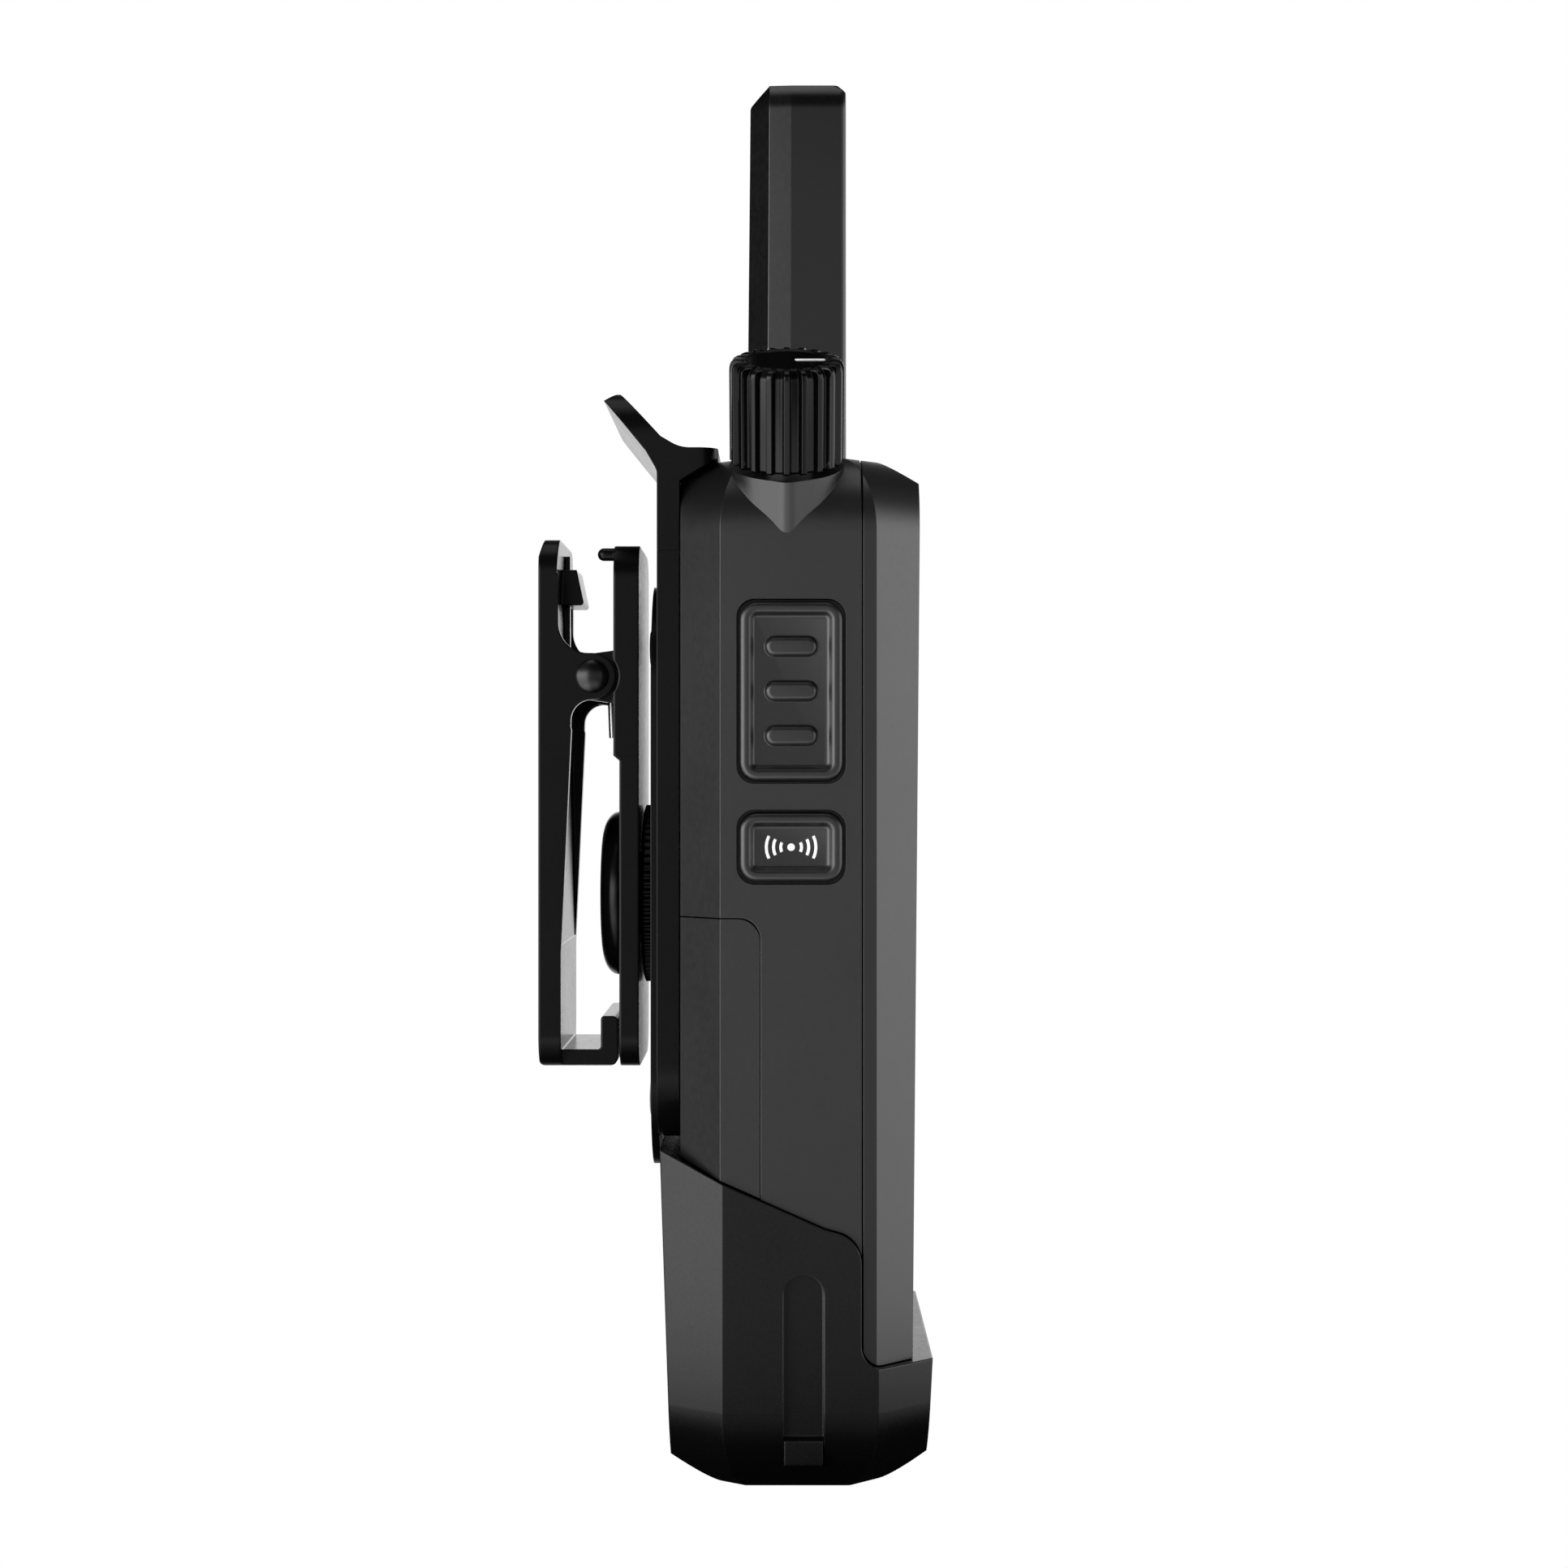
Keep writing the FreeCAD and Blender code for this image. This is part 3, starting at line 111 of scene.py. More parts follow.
def close_material(nodes, shader):
    """Link the last shader to the surface."""
    out = nodes.add("ShaderNodeOutputMaterial")
    nodes.tree.links.new(shader.outputs[0], out.inputs["Surface"])


def grey(value, tint=0.0):
    return (value, value, value * (1.0 + tint), 1.0)


def scaled(colour, factor):
    return tuple(c * factor for c in colour[:3]) + (1.0,)


def edge_mask(nodes, radius):
    """1 on edges and corners, 0 on flat ground, from how far a rounded normal turns away."""
    rounded = nodes.add("ShaderNodeBevel", {"Radius": radius}, samples=8).outputs[0]
    plain = nodes.add("ShaderNodeNewGeometry").outputs["Normal"]
    turn = nodes.add("ShaderNodeVectorMath", {0: rounded, 1: plain}, operation="DOT_PRODUCT")
    flat, turned = 0.995, 0.90
    return rounded, nodes.remap(turn.outputs["Value"], flat, turned, 0.0, 1.0)


def moulded(name, colour, roughness, grain=1500.0, depth=0.012, wear_and_highlight=0.25, specular=0.5,
            edge=0.30 * MM):
    """Moulded plastic or rubber: spark-eroded grain, faint mottling and paler edges, which stand
    for wear and, where turned up as on the boot, a painted highlight.
    """
    cloud_drift, fine_drift, edge_polish = 0.015, 0.025, 0.08
    material, nodes = new_material(name)
    cloud = nodes.noise(70.0, 4.0)
    fine = nodes.noise(grain, 5.0, 0.6)
    scuff = nodes.noise(420.0, 6.0, 0.7)
    rounded, edges = edge_mask(nodes, edge)
    # Paler edges: partly wear, and when turned up high a painted highlight along edges and lips.
    pale = tuple(min(c * 2.6 + 0.012, 1.0) for c in colour[:3]) + (1.0,)
    ground = nodes.mix(cloud, scaled(colour, 0.80), scaled(colour, 1.20))
    worn_and_highlit = nodes.math("MULTIPLY", edges, nodes.remap(scuff, 0.35, NOISE_HIGH, 0.2, 1.0),
                      clamp=True)
    worn_and_highlit = nodes.math("MULTIPLY", worn_and_highlit, wear_and_highlight)
    colour_out = nodes.mix(worn_and_highlit, ground, pale)
    rough = nodes.math(
        "ADD", nodes.remap(cloud, NOISE_LOW, NOISE_HIGH, -cloud_drift, cloud_drift),
        nodes.remap(fine, NOISE_LOW, NOISE_HIGH, roughness - fine_drift, roughness + fine_drift))
    rough = nodes.math("SUBTRACT", rough, nodes.math("MULTIPLY", edges, edge_polish))
    bump = nodes.add("ShaderNodeBump", {
        "Strength": 0.5, "Distance": depth * MM, "Height": fine, "Normal": rounded})
    shader = nodes.add("ShaderNodeBsdfPrincipled", {
        "Base Color": colour_out, "Roughness": rough, "Normal": bump.outputs[0]})
    shader.inputs["Specular IOR Level"].default_value = specular
    close_material(nodes, shader)
    return material


def metal(name, colour, roughness, streak=900.0):
    """Plated or turned metal: fine streaks, small colour drift, brighter edges."""
    material, nodes = new_material(name)
    place = nodes.add("ShaderNodeTexCoord").outputs["Object"]
    stretched = nodes.add("ShaderNodeMapping", {"Vector": place, "Scale": (0.15, 1.0, 1.0)})
    streaks = nodes.add("ShaderNodeTexNoise", {
        "Vector": stretched.outputs[0], "Scale": streak, "Detail": 4.0}).outputs["Fac"]
    rounded, edges = edge_mask(nodes, 0.15 * MM)
    tone = nodes.mix(nodes.noise(160.0), scaled(colour, 0.85), colour)
    tone = nodes.mix(nodes.math("MULTIPLY", edges, 0.3), tone, (0.9, 0.9, 0.9, 1.0))
    rough = nodes.remap(streaks, NOISE_LOW, NOISE_HIGH, roughness - 0.06, roughness + 0.08)
    bump = nodes.add("ShaderNodeBump", {
        "Strength": 0.3, "Distance": 0.004 * MM, "Height": streaks, "Normal": rounded})
    shader = nodes.add("ShaderNodeBsdfPrincipled", {
        "Base Color": tone, "Roughness": rough, "Normal": bump.outputs[0]})
    shader.inputs["Metallic"].default_value = 1.0
    close_material(nodes, shader)
    return material


def woven(name, colour, pitch):
    """A close plain weave of dark threads."""
    material, nodes = new_material(name)
    place = nodes.add("ShaderNodeTexCoord").outputs["Object"]
    axes = nodes.add("ShaderNodeSeparateXYZ", {0: place}).outputs
    across = nodes.math("SINE", nodes.math("MULTIPLY", axes["X"], math.tau / pitch))
    along = nodes.math("SINE", nodes.math("MULTIPLY", axes["Z"], math.tau / pitch))
    weave = nodes.remap(nodes.math("MULTIPLY", across, along), -1.0, 1.0, 0.0, 1.0)
    tone = nodes.mix(weave, scaled(colour, 0.5), colour)
    rough = nodes.remap(nodes.noise(900.0), NOISE_LOW, NOISE_HIGH, 0.8, 0.95)
    bump = nodes.add("ShaderNodeBump", {"Strength": 0.8, "Distance": 0.1 * MM, "Height": weave})
    shader = nodes.add("ShaderNodeBsdfPrincipled", {
        "Base Color": tone, "Roughness": rough, "Normal": bump.outputs[0]})
    close_material(nodes, shader)
    return material


def window(name):
    """The display's clear window, faintly smoked, with fingerprints in its gloss."""
    material, nodes = new_material(name)
    smear = nodes.noise(120.0, 5.0)
    rough = nodes.remap(smear, 0.35, NOISE_HIGH, 0.03, 0.14)
    tint = nodes.mix(nodes.noise(30.0), (0.55, 0.58, 0.58, 1.0), (0.62, 0.64, 0.64, 1.0))
    shader = nodes.add("ShaderNodeBsdfPrincipled", {"Base Color": tint, "Roughness": rough})
    for socket, value in (("Transmission Weight", 0.9), ("Alpha", 0.45), ("IOR", 1.49)):
        shader.inputs[socket].default_value = value
    close_material(nodes, shader)
    return material


MATERIALS = {
    "casing": moulded("casing_plastic", grey(0.0034, 0.03), 0.34, depth=0.004, wear_and_highlight=0.12,
                      edge=0.09 * MM),
    # The boot's pale edges are turned up to full: a painted highlight along its lip and facet
    # borders, with some wear.
    "boot": moulded("boot_plastic", grey(0.0020, 0.03), 0.27, grain=1900.0, depth=0.0012,
                    wear_and_highlight=1.0, specular=0.24, edge=0.30 * MM),
    "antenna": moulded("antenna_plastic", grey(0.0010, 0.03), 0.22, depth=0.004, wear_and_highlight=0.12,
                       edge=0.12 * MM),
    "knob": moulded("knob_plastic", grey(0.0008, 0.03), 0.14, grain=2200.0, depth=0.003,
                    specular=0.16, edge=0.16 * MM),
    "button": moulded("button_rubber", grey(0.0030, 0.02), 0.34, grain=1900.0, depth=0.005,
                      wear_and_highlight=0.15, edge=0.18 * MM),
    "key": moulded("key_rubber", grey(0.0090, 0.02), 0.42, grain=1900.0),
    "clip": moulded("clip_nylon", grey(0.0018, 0.02), 0.22, grain=1700.0, depth=0.003,
                    specular=0.12, edge=0.40 * MM),
    "holster": moulded("holster_nylon", grey(0.0018, 0.02), 0.24, grain=1700.0, depth=0.003,
                       specular=0.12, edge=0.16 * MM),
    "mark": moulded("white_ink", grey(0.80), 0.50, grain=2400.0, depth=0.004, wear_and_highlight=0.0),
    "lens": window("display_window"),
    "display": moulded("display_panel", (0.20, 0.235, 0.20, 1.0), 0.35, grain=600.0, wear_and_highlight=0.0),
    "lamp": moulded("lamp_plastic", (0.35, 0.03, 0.02, 1.0), 0.15, depth=0.002, wear_and_highlight=0.0),
    "black_steel": moulded("black_steel", grey(0.0015), 0.24, grain=2400.0, depth=0.002,
                           specular=0.30, edge=0.12 * MM),
    "steel": metal("plated_steel", (0.42, 0.42, 0.43, 1.0), 0.28),
    "screen_metal": metal("tinned_sheet", (0.66, 0.66, 0.65, 1.0), 0.35),
    "contact": metal("gilt_contact", (0.80, 0.62, 0.30, 1.0), 0.25),
    "board": moulded("solder_mask", (0.02, 0.10, 0.045, 1.0), 0.30, grain=900.0, wear_and_highlight=0.1),
    "inner_plastic": moulded("inner_plastic", grey(0.030), 0.50),
    "wrap": moulded("cell_wrap", (0.03, 0.045, 0.12, 1.0), 0.25, grain=500.0, wear_and_highlight=0.0),
    "cloth": woven("speaker_weave", grey(0.03), 0.6 * MM),
    "gasket": moulded("gasket_rubber", grey(0.012), 0.65),
}


def dress_cad():
    """Each CAD node takes the material of its slot."""
    slots = {row["node"]: row["material_slot"] for row in frame["record"]["subparts"]}
    for name, thing in frame["nodes"].items():
        thing.data.materials.clear()
        thing.data.materials.append(MATERIALS[slots[name]])


# ---------------------------------------------------------------- mesh helpers

def piece(name, points, faces, body, slot, replaces=(), smooth=35.0):
    """A mesh piece that rides on a body and is finished like a slot."""
    mesh = bpy.data.meshes.new(name)
    mesh.from_pydata([tuple(p) for p in points], [], faces)
    mesh.validate()
    mesh.update()
    thing = bpy.data.objects.new(name, mesh)
    bpy.context.scene.collection.objects.link(thing)
    mesh.materials.append(MATERIALS[slot])
    if smooth:
        mesh.shade_smooth()
        mesh.set_sharp_from_angle(angle=math.radians(smooth))
    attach(thing, body)
    if replaces:
        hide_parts(*replaces)
    return thing


def loft(rings):
    """Faces between rings of equal length, with the two ends capped."""
    count = len(rings[0])
    points = [p for ring in rings for p in ring]
    faces = []
    for level in range(len(rings) - 1):
        for i in range(count):
            a = level * count + i
            b = level * count + (i + 1) % count
            faces.append((a, b, b + count, a + count))
    faces.append(tuple(reversed(range(count))))
    start = (len(rings) - 1) * count
    faces.append(tuple(range(start, start + count)))
    return points, faces


def merge(shapes):
    """Several (points, faces) pairs as one."""
    points, faces = [], []
    for more_points, more_faces in shapes:
        shift = len(points)
        points.extend(more_points)
        faces.extend(tuple(i + shift for i in face) for face in more_faces)
    return points, faces


def frame_along(origin, axis, up=Vector((0, 0, 1))):
    """A matrix whose Z runs along the axis from the origin."""
    z = Vector(axis).normalized()
    x = up.cross(z).normalized()
    y = z.cross(x)
    rotation = Matrix((x, y, z)).transposed().to_4x4()
    return Matrix.Translation(Vector(origin)) @ rotation


def circle(radius, height, count=48, wave=None):
    """A level ring of points, whose radius a wave may change with the angle."""
    ring = []
    for i in range(count):
        angle = math.tau * i / count
        r = wave(angle, radius) if wave else radius
        ring.append(Vector((r * math.cos(angle), r * math.sin(angle), height)))
    return ring


def hexagon(across, height, count=48):
    """A ring of points on a hexagon, matched one for one with a circle's."""
    ring = []
    for i in range(count):
        angle = math.tau * i / count
        part = (angle + math.pi / 6) % (math.pi / 3) - math.pi / 6
        r = across / math.cos(part)
        ring.append(Vector((r * math.cos(angle), r * math.sin(angle), height)))
    return ring


def moved(matrix, rings):
    return [[matrix @ p for p in ring] for ring in rings]


# ---------------------------------------------------------------- knob

def knob():
    """The ribbed cap on its leaning axis: its ribs stand over a round shoulder and a flat top."""
    joint = JOINTS["knob_turn"]
    low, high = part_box("knob_cap")
    axis = Vector(joint["axis"]).normalized()
    tilt = math.acos(axis.z)
    outer = (high.y - low.y) / 2
    tall = ((high.z - low.z) - 2 * outer * math.sin(tilt)) / math.cos(tilt)
    ribs = 20
    count = ribs * 14
    rib_top, rib_foot = 0.13, 0.30  # half widths, as shares of the ribs' spacing

    def ribbed(depth):
        """A ring whose ribs stand that far out of its valleys."""
        def wave(angle, radius):
            part = abs((angle / math.tau * ribs + 0.5) % 1.0 - 0.5)
            lift = min(max((rib_foot - part) / (rib_foot - rib_top), 0.0), 1.0)
            lift = lift * lift * (3 - 2 * lift)
            return radius - depth * (1 - lift)
        return wave

    # Both in mm: how far in from the ribs, the height above the foot or below the top, and how
    # deep the valleys are.
    skirt = ((0.25, 0.0, 0.60), (0.0, 0.25, 0.70))
    shoulder = ((0.0, 1.25, 0.70), (0.02, 0.90, 0.84), (0.10, 0.55, 1.00), (0.28, 0.27, 1.08),
                (0.58, 0.09, 1.00), (0.92, 0.03, 0.76), (1.40, 0.0, 0.30))
    rim_in, disc_in, disc_sunk, disc_hole = 1.85 * MM, 1.97 * MM, 0.12 * MM, 0.4 * MM
    rings = [circle(outer - inset * MM, up * MM, count, ribbed(valley * MM))
             for inset, up, valley in skirt]
    rings += [circle(outer - inset * MM, tall - below * MM, count, ribbed(valley * MM))
              for inset, below, valley in shoulder]
    rings += [circle(outer - rim_in, tall, count),
              circle(outer - disc_in, tall - disc_sunk, count),
              circle(disc_hole, tall - disc_sunk, count)]
    place = frame_along(joint["pos_m"], axis, up=Vector((0, 1, 0)))
    points, faces = loft(moved(place, rings))
    piece("knob_grip", points, faces, "knob", "knob", ("knob_cap",), smooth=28.0)

    line_half_width, line_half_length, line_out = 0.26 * MM, 1.7 * MM, 2.6 * MM
    line_low = tall - disc_sunk - 0.02 * MM
    bar = rounded_bar(line_half_width, line_half_length, line_low, line_low + 0.12 * MM)
    forward = place.to_3x3().inverted() @ Vector((0, -1, 0))
    heading = Matrix.Rotation(math.atan2(forward.y, forward.x), 4, "Z")
    shift = Matrix.Translation((line_out, 0, 0))
    points, faces = loft(moved(place @ heading @ shift, bar))
    piece("knob_pointer_line", points, faces, "knob", "mark", ("knob_pointer",))


def rounded_bar(half_width, half_length, low, high, steps=8):
    """Rings of a bar with round ends, long along X, with its top edge eased."""
    eased, top_length, top_width = 0.03 * MM, 0.98, 0.7
    outline = []
    straight = half_length - half_width
    for end, turn in ((1, 0), (-1, 180)):
        for i in range(steps + 1):
            angle = math.radians(-90 + 180 * i / steps + turn)
            outline.append((end * straight + half_width * math.cos(angle),
                            half_width * math.sin(angle)))
    return [[Vector((x, y, low)) for x, y in outline],
            [Vector((x, y, high - eased)) for x, y in outline],
            [Vector((x * top_length, y * top_width, high)) for x, y in outline]]


# ---------------------------------------------------------------- antenna

def antenna():
    """The blade: level facets up its height, drawn in towards the top, on its spigot."""
    low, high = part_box("antenna_cover")
    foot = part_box("rear_housing")[1].z
    middle = (low.x + high.x) / 2
    half = (high.x - low.x) / 2
    tall = high.z - foot
    # The near half of the plan, in mm: how far in from the side, and Y.
    facets = ((0.0, -5.3), (0.0, 0.85), (0.30, 3.75), (3.35, 6.3))
    front_corner = ((0.75, -5.98), (0.35, -5.88), (0.10, -5.62))
    rear_slope = (facets[3][0] - facets[2][0]) / (facets[3][1] - facets[2][1])
    crown_tall, crown_round, crown_steps = 3.2 * MM, 4.5 * MM, 10
    side_taper, back_taper = 0.5 * MM, 0.07
    top_back, front_chamfer, half_least = 3.5 * MM, 0.9 * MM, 0.4 * MM
    crown_shares = [1 - crown_tall / tall * (1 - k / crown_steps)
                    for k in range(crown_steps + 1)]
    rings = []
    for share in [0.0, 0.3, 0.6] + crown_shares:
        z = foot + share * tall
        down = high.z - z
        bent = max(crown_tall - down, 0.0)
        crown = crown_round - math.sqrt(crown_round ** 2 - bent ** 2)
        back_limit = down + top_back
        front_in = max(front_chamfer - down, 0.0)
        near_side = []
        for inset, y in front_corner + facets:
            y = y * MM * (1 - back_taper * share) if y > 0 else y * MM + front_in
            if y > back_limit:
                inset -= (y - back_limit) / MM * rear_slope
                y = back_limit
            x = -half + side_taper * share + crown + inset * MM
            near_side.append((min(x, -half_least), y))
        ring = [(-x, y) for x, y in near_side] + near_side[::-1]
        rings.append([Vector((middle + x, y, z)) for x, y in ring])
    spigot_x, spigot_y, spigot_in = 5.2 * MM, 4.0 * MM, 0.2 * MM
    spigot = rectangle(middle, 0.0, spigot_x, spigot_y)
    spigot_rings = [[Vector((x, y, z)) for x, y in spigot] for z in (low.z, foot + spigot_in)]
    points, faces = merge([loft(rings), loft(spigot_rings)])
    piece("antenna_blade", points, faces, BODY, "antenna", ("antenna_cover",), smooth=5.5)


# ---------------------------------------------------------------- hinge pin

def hinge_pin():
    """The clip's pin: a straight rod with a smooth round dome riveted on each end."""
    low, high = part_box("hinge_pin")
    middle = (low + high) / 2
    half = (high.x - low.x) / 2
    head = (high.z - low.z) / 2
    rod, tip, head_thick = 1.15 * MM, 0.02 * MM, 0.95 * MM
    # Shares of the head's radius, and mm in from the tip.
    dome = ((0.22, 0.02), (0.45, 0.10), (0.66, 0.25), (0.83, 0.44), (0.94, 0.62), (1.0, 0.78))
    outline = [(tip, half)] + [(head * share, half - back * MM) for share, back in dome]
    outline += [(head, half - head_thick), (rod, half - head_thick)]
    outline += [(radius, -x) for radius, x in reversed(outline)]
    place = frame_along(middle, Vector((1, 0, 0)))
    rings = [circle(radius, x, 64) for radius, x in reversed(outline)]
    points, faces = loft(moved(place, rings))
    piece("clip_pin", points, faces, "clip_mount", "black_steel", ("hinge_pin",), smooth=38.0)


# ---------------------------------------------------------------- swivel, screws, spring

def swivel_hub():
    """The ratchet disc with its fine teeth, and the post through the clip's base."""
    low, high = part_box("swivel_hub")
    post_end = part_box("swivel_head")[0].y
    base_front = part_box("clip_base")[0].y
    centre = (low + high) / 2
    radius = (high.x - low.x) / 2
    teeth = 64
    count = teeth * 6
    tooth_deep, base_gap, post = 0.42 * MM, 0.12 * MM, 4.98 * MM

    def toothed(angle, r):
        part = abs((angle / math.tau * teeth) % 1.0 - 0.5) * 2
        return r - tooth_deep * min(max((part - 0.25) * 2, 0.0), 1.0)

    depth = base_front - base_gap - low.y
    rings = [
        circle(radius - 0.7 * MM, 0.0, count),
        circle(radius, 0.18 * MM, count, toothed),
        circle(radius, depth - 0.2 * MM, count, toothed),
        circle(radius - 0.6 * MM, depth, count),
        circle(post, depth, count),
        circle(post, post_end - low.y, count),
    ]
    place = frame_along((centre.x, low.y, centre.z), (0, 1, 0))
    points, faces = loft(moved(place, rings))
    piece("swivel_ratchet", points, faces, BODY, "clip", ("swivel_hub",))


def swivel_head():
    """The domed cap that keeps the clip on its post, with a sunk seat for its screw."""
    low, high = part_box("swivel_head")
    centre = (low + high) / 2
    radius = (high.x - low.x) / 2
    tall = high.y - low.y
    count = 96
    dome_in, dome_tall, dome_steps, foot = 3.1 * MM, 1.9 * MM, 6, 0.25 * MM
    seat = 2.65 * MM
    rings = [circle(radius - foot, 0.0, count), circle(radius, foot, count)]
    for i in range(dome_steps + 1):
        angle = math.radians(90 / dome_steps * i)
        rings.append(circle(radius - dome_in * (1 - math.cos(angle)),
                            tall - dome_tall * (1 - math.sin(angle)), count))
    # A ring groove, then the seat: radius, and how far below the top.
    for ring_radius, below in (
            (6.4 * MM, 0.0), (6.1 * MM, 0.28 * MM), (4.3 * MM, 0.28 * MM), (4.0 * MM, 0.0),
            (seat + 0.25 * MM, 0.0), (seat, 0.2 * MM), (seat, 1.0 * MM)):
        rings.append(circle(ring_radius, tall - below, count))
    place = frame_along((centre.x, low.y, centre.z), (0, 1, 0))
    points, faces = loft(moved(place, rings))
    piece("swivel_cap", points, faces, BODY, "clip", ("swivel_head",))


def screw_shape(foot, axis, radius, tall, lean):
    """A pan-head screw with a hexagon socket, standing on its foot."""
    count = 48
    socket = radius * 0.42
    # Shares of a width and of the height: the head's, the socket's, and the socket's floor.
    head = ((1.0, 0.0), (1.0, 0.45), (0.93, 0.78), (0.78, 0.96), (0.62, 1.0))
    hole = ((1.08, 1.0), (1.0, 0.92), (1.0, 0.25))
    rings = [circle(radius * wide, tall * up, count) for wide, up in head]
    rings += [hexagon(socket * wide, tall * up, count) for wide, up in hole]
    rings.append(circle(socket * 0.2, tall * 0.12, count))
    turn = Matrix.Rotation(lean, 4, "Z")
    return loft(moved(frame_along(foot, axis) @ turn, rings))


def screws():
    """The screw in the swivel's cap and the two in its pad, each turned its own way."""
    low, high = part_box("swivel_screw")
    centre = (low + high) / 2
    points, faces = screw_shape((centre.x, low.y, centre.z), (0, 1, 0), (high.x - low.x) / 2,
                                high.y - low.y, 0.4)
    piece("swivel_screw_head", points, faces, BODY, "steel", ("swivel_screw",))
    low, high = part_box("pad_screws")
    radius = (high.x - low.x) / 2
    shapes = []
    for level, lean in ((low.z + radius, 0.2), (high.z - radius, 0.9)):
        shapes.append(screw_shape(((low.x + high.x) / 2, low.y, level), (0, 1, 0), radius,
                                  high.y - low.y, lean))
    points, faces = merge(shapes)
    piece("pad_screw_heads", points, faces, BODY, "steel", ("pad_screws",))


def tube(path, radius, sides):
    """A round wire along a path of points, with its ends capped."""
    rings = []
    normal = (path[1] - path[0]).orthogonal().normalized()
    for i, here in enumerate(path):
        before = path[max(i - 1, 0)]
        after = path[min(i + 1, len(path) - 1)]
        along = (after - before).normalized()
        normal = (normal - along * normal.dot(along)).normalized()
        side = along.cross(normal)
        rings.append([here + (normal * math.cos(math.tau * k / sides)
                              + side * math.sin(math.tau * k / sides)) * radius
                      for k in range(sides)])
    return loft(rings)


def clip_spring():
    """The torsion spring's real coils round the hinge pin, and the two legs that push."""
    low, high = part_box("clip_spring")
    centre = Vector(JOINTS["clip_squeeze"]["pos_m"])
    wire = 0.38 * MM
    coil = (high.z - low.z) / 2 - wire
    span = (high.x - low.x) / 2 - wire
    turns, steps = 16, 24
    path = []
    for i in range(turns * steps + 1):
        angle = math.tau * i / steps + math.pi / 2
        path.append(Vector((-span + 2 * span * i / (turns * steps),
                            centre.y + coil * math.cos(angle), centre.z + coil * math.sin(angle))))
    leg_long, leg_bend = 9 * MM, 4.2 * MM
    base_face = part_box("clip_base")[0].y + 3.0 * MM

    def leg(end, near):
        """Points from the leg's tip up to the coil; near says how close it comes in."""
        return [Vector((end.x, base_face + wire, end.z - leg_long)),
                Vector((end.x, base_face + wire * 1.5, end.z - leg_bend)),
                Vector((end.x, end.y - coil * near, end.z - coil * near))]

    wound = leg(path[0], 1.0) + path + leg(path[-1], 0.9)[::-1]
    points, faces = tube(wound, wire, 8)
    piece("clip_spring_coils", points, faces, "clip_mount", "steel", ("clip_spring",), smooth=60.0)


# ---------------------------------------------------------------- marks and display

def flat_shape(outline, place, thick):
    """A thin raised mark: an outline of (x, y) pushed up along the place's Z."""
    rings = [[Vector((x, y, 0)) for x, y in outline],
             [Vector((x, y, thick)) for x, y in outline]]
    return loft(moved(place, rings))


def arc_band(radius, width, start, stop, steps=14):
    """The outline of a curved stroke."""
    outer = [(radius + width / 2, start + (stop - start) * i / steps) for i in range(steps + 1)]
    inner = [(radius - width / 2, stop - (stop - start) * i / steps) for i in range(steps + 1)]
    return [(r * math.cos(a), r * math.sin(a)) for r, a in outer + inner]


def rounded_ring(half_y, half_z, corner, inset, x, steps=6):
    """A rectangle with round corners in the YZ plane, drawn in by the inset."""
    least_corner = 0.35 * MM
    ring = []
    radius = max(corner - inset, least_corner)
    for k, (side_y, side_z) in enumerate(((1, 1), (-1, 1), (-1, -1), (1, -1))):
        for i in range(steps + 1):
            angle = math.radians(90 * (k + i / steps))
            ring.append(Vector((
                x, side_y * (half_y - inset - radius) + radius * math.cos(angle),
                side_z * (half_z - inset - radius) + radius * math.sin(angle))))
    return ring


PAD_FLOOR = 0.70  # mm behind the rim's top


def pressed_pad(name, cad, body, ridges=()):
    """A talk-side button: flange behind the wall, a bulging rim, a sunk floor and its ridges."""
    low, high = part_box(cad)
    centre = Vector((low.x, (low.y + high.y) / 2, (low.z + high.z) / 2))
    flange, flange_thick, corner = 1.0, 0.9, 2.0
    half_y = (high.y - low.y) / 2 - flange * MM
    half_z = (high.z - low.z) / 2 - flange * MM
    back = (high.x - low.x) / MM
    # Inset and depth behind the rim's top, in mm: flange, outer wall, rim, inner slope, floor.
    profile = [(-flange, back), (-flange, back - flange_thick), (0.0, back - flange_thick),
               (0.0, 0.75), (0.04, 0.44), (0.15, 0.20), (0.33, 0.05), (0.55, 0.0),
               (0.95, 0.0), (1.10, 0.04), (1.22, 0.14), (1.50, 0.56), (1.62, 0.66),
               (1.80, PAD_FLOOR)]
    rings = [rounded_ring(half_y, half_z, corner * MM, inset * MM, x * MM)
             for inset, x in reversed(profile)]
    shapes = [loft(rings)]
    ridge_half_y, ridge_half_z, ridge_corner = 2.95 * MM, 1.15 * MM, 1.14 * MM
    ridge = [(0.62, 0.02), (0.46, 0.03), (0.34, 0.08), (0.08, 0.34), (0.0, 0.55), (0.0, 0.75)]
    for level in ridges:
        rings = [rounded_ring(ridge_half_y, ridge_half_z, ridge_corner, inset * MM, x * MM)
                 for inset, x in ridge]
        shapes.append(loft([[p + Vector((0, 0, level)) for p in ring] for ring in rings]))
    points, faces = merge(shapes)
    points = [p + centre for p in points]
    piece(name, points, faces, body, "button", (cad,), smooth=50.0)


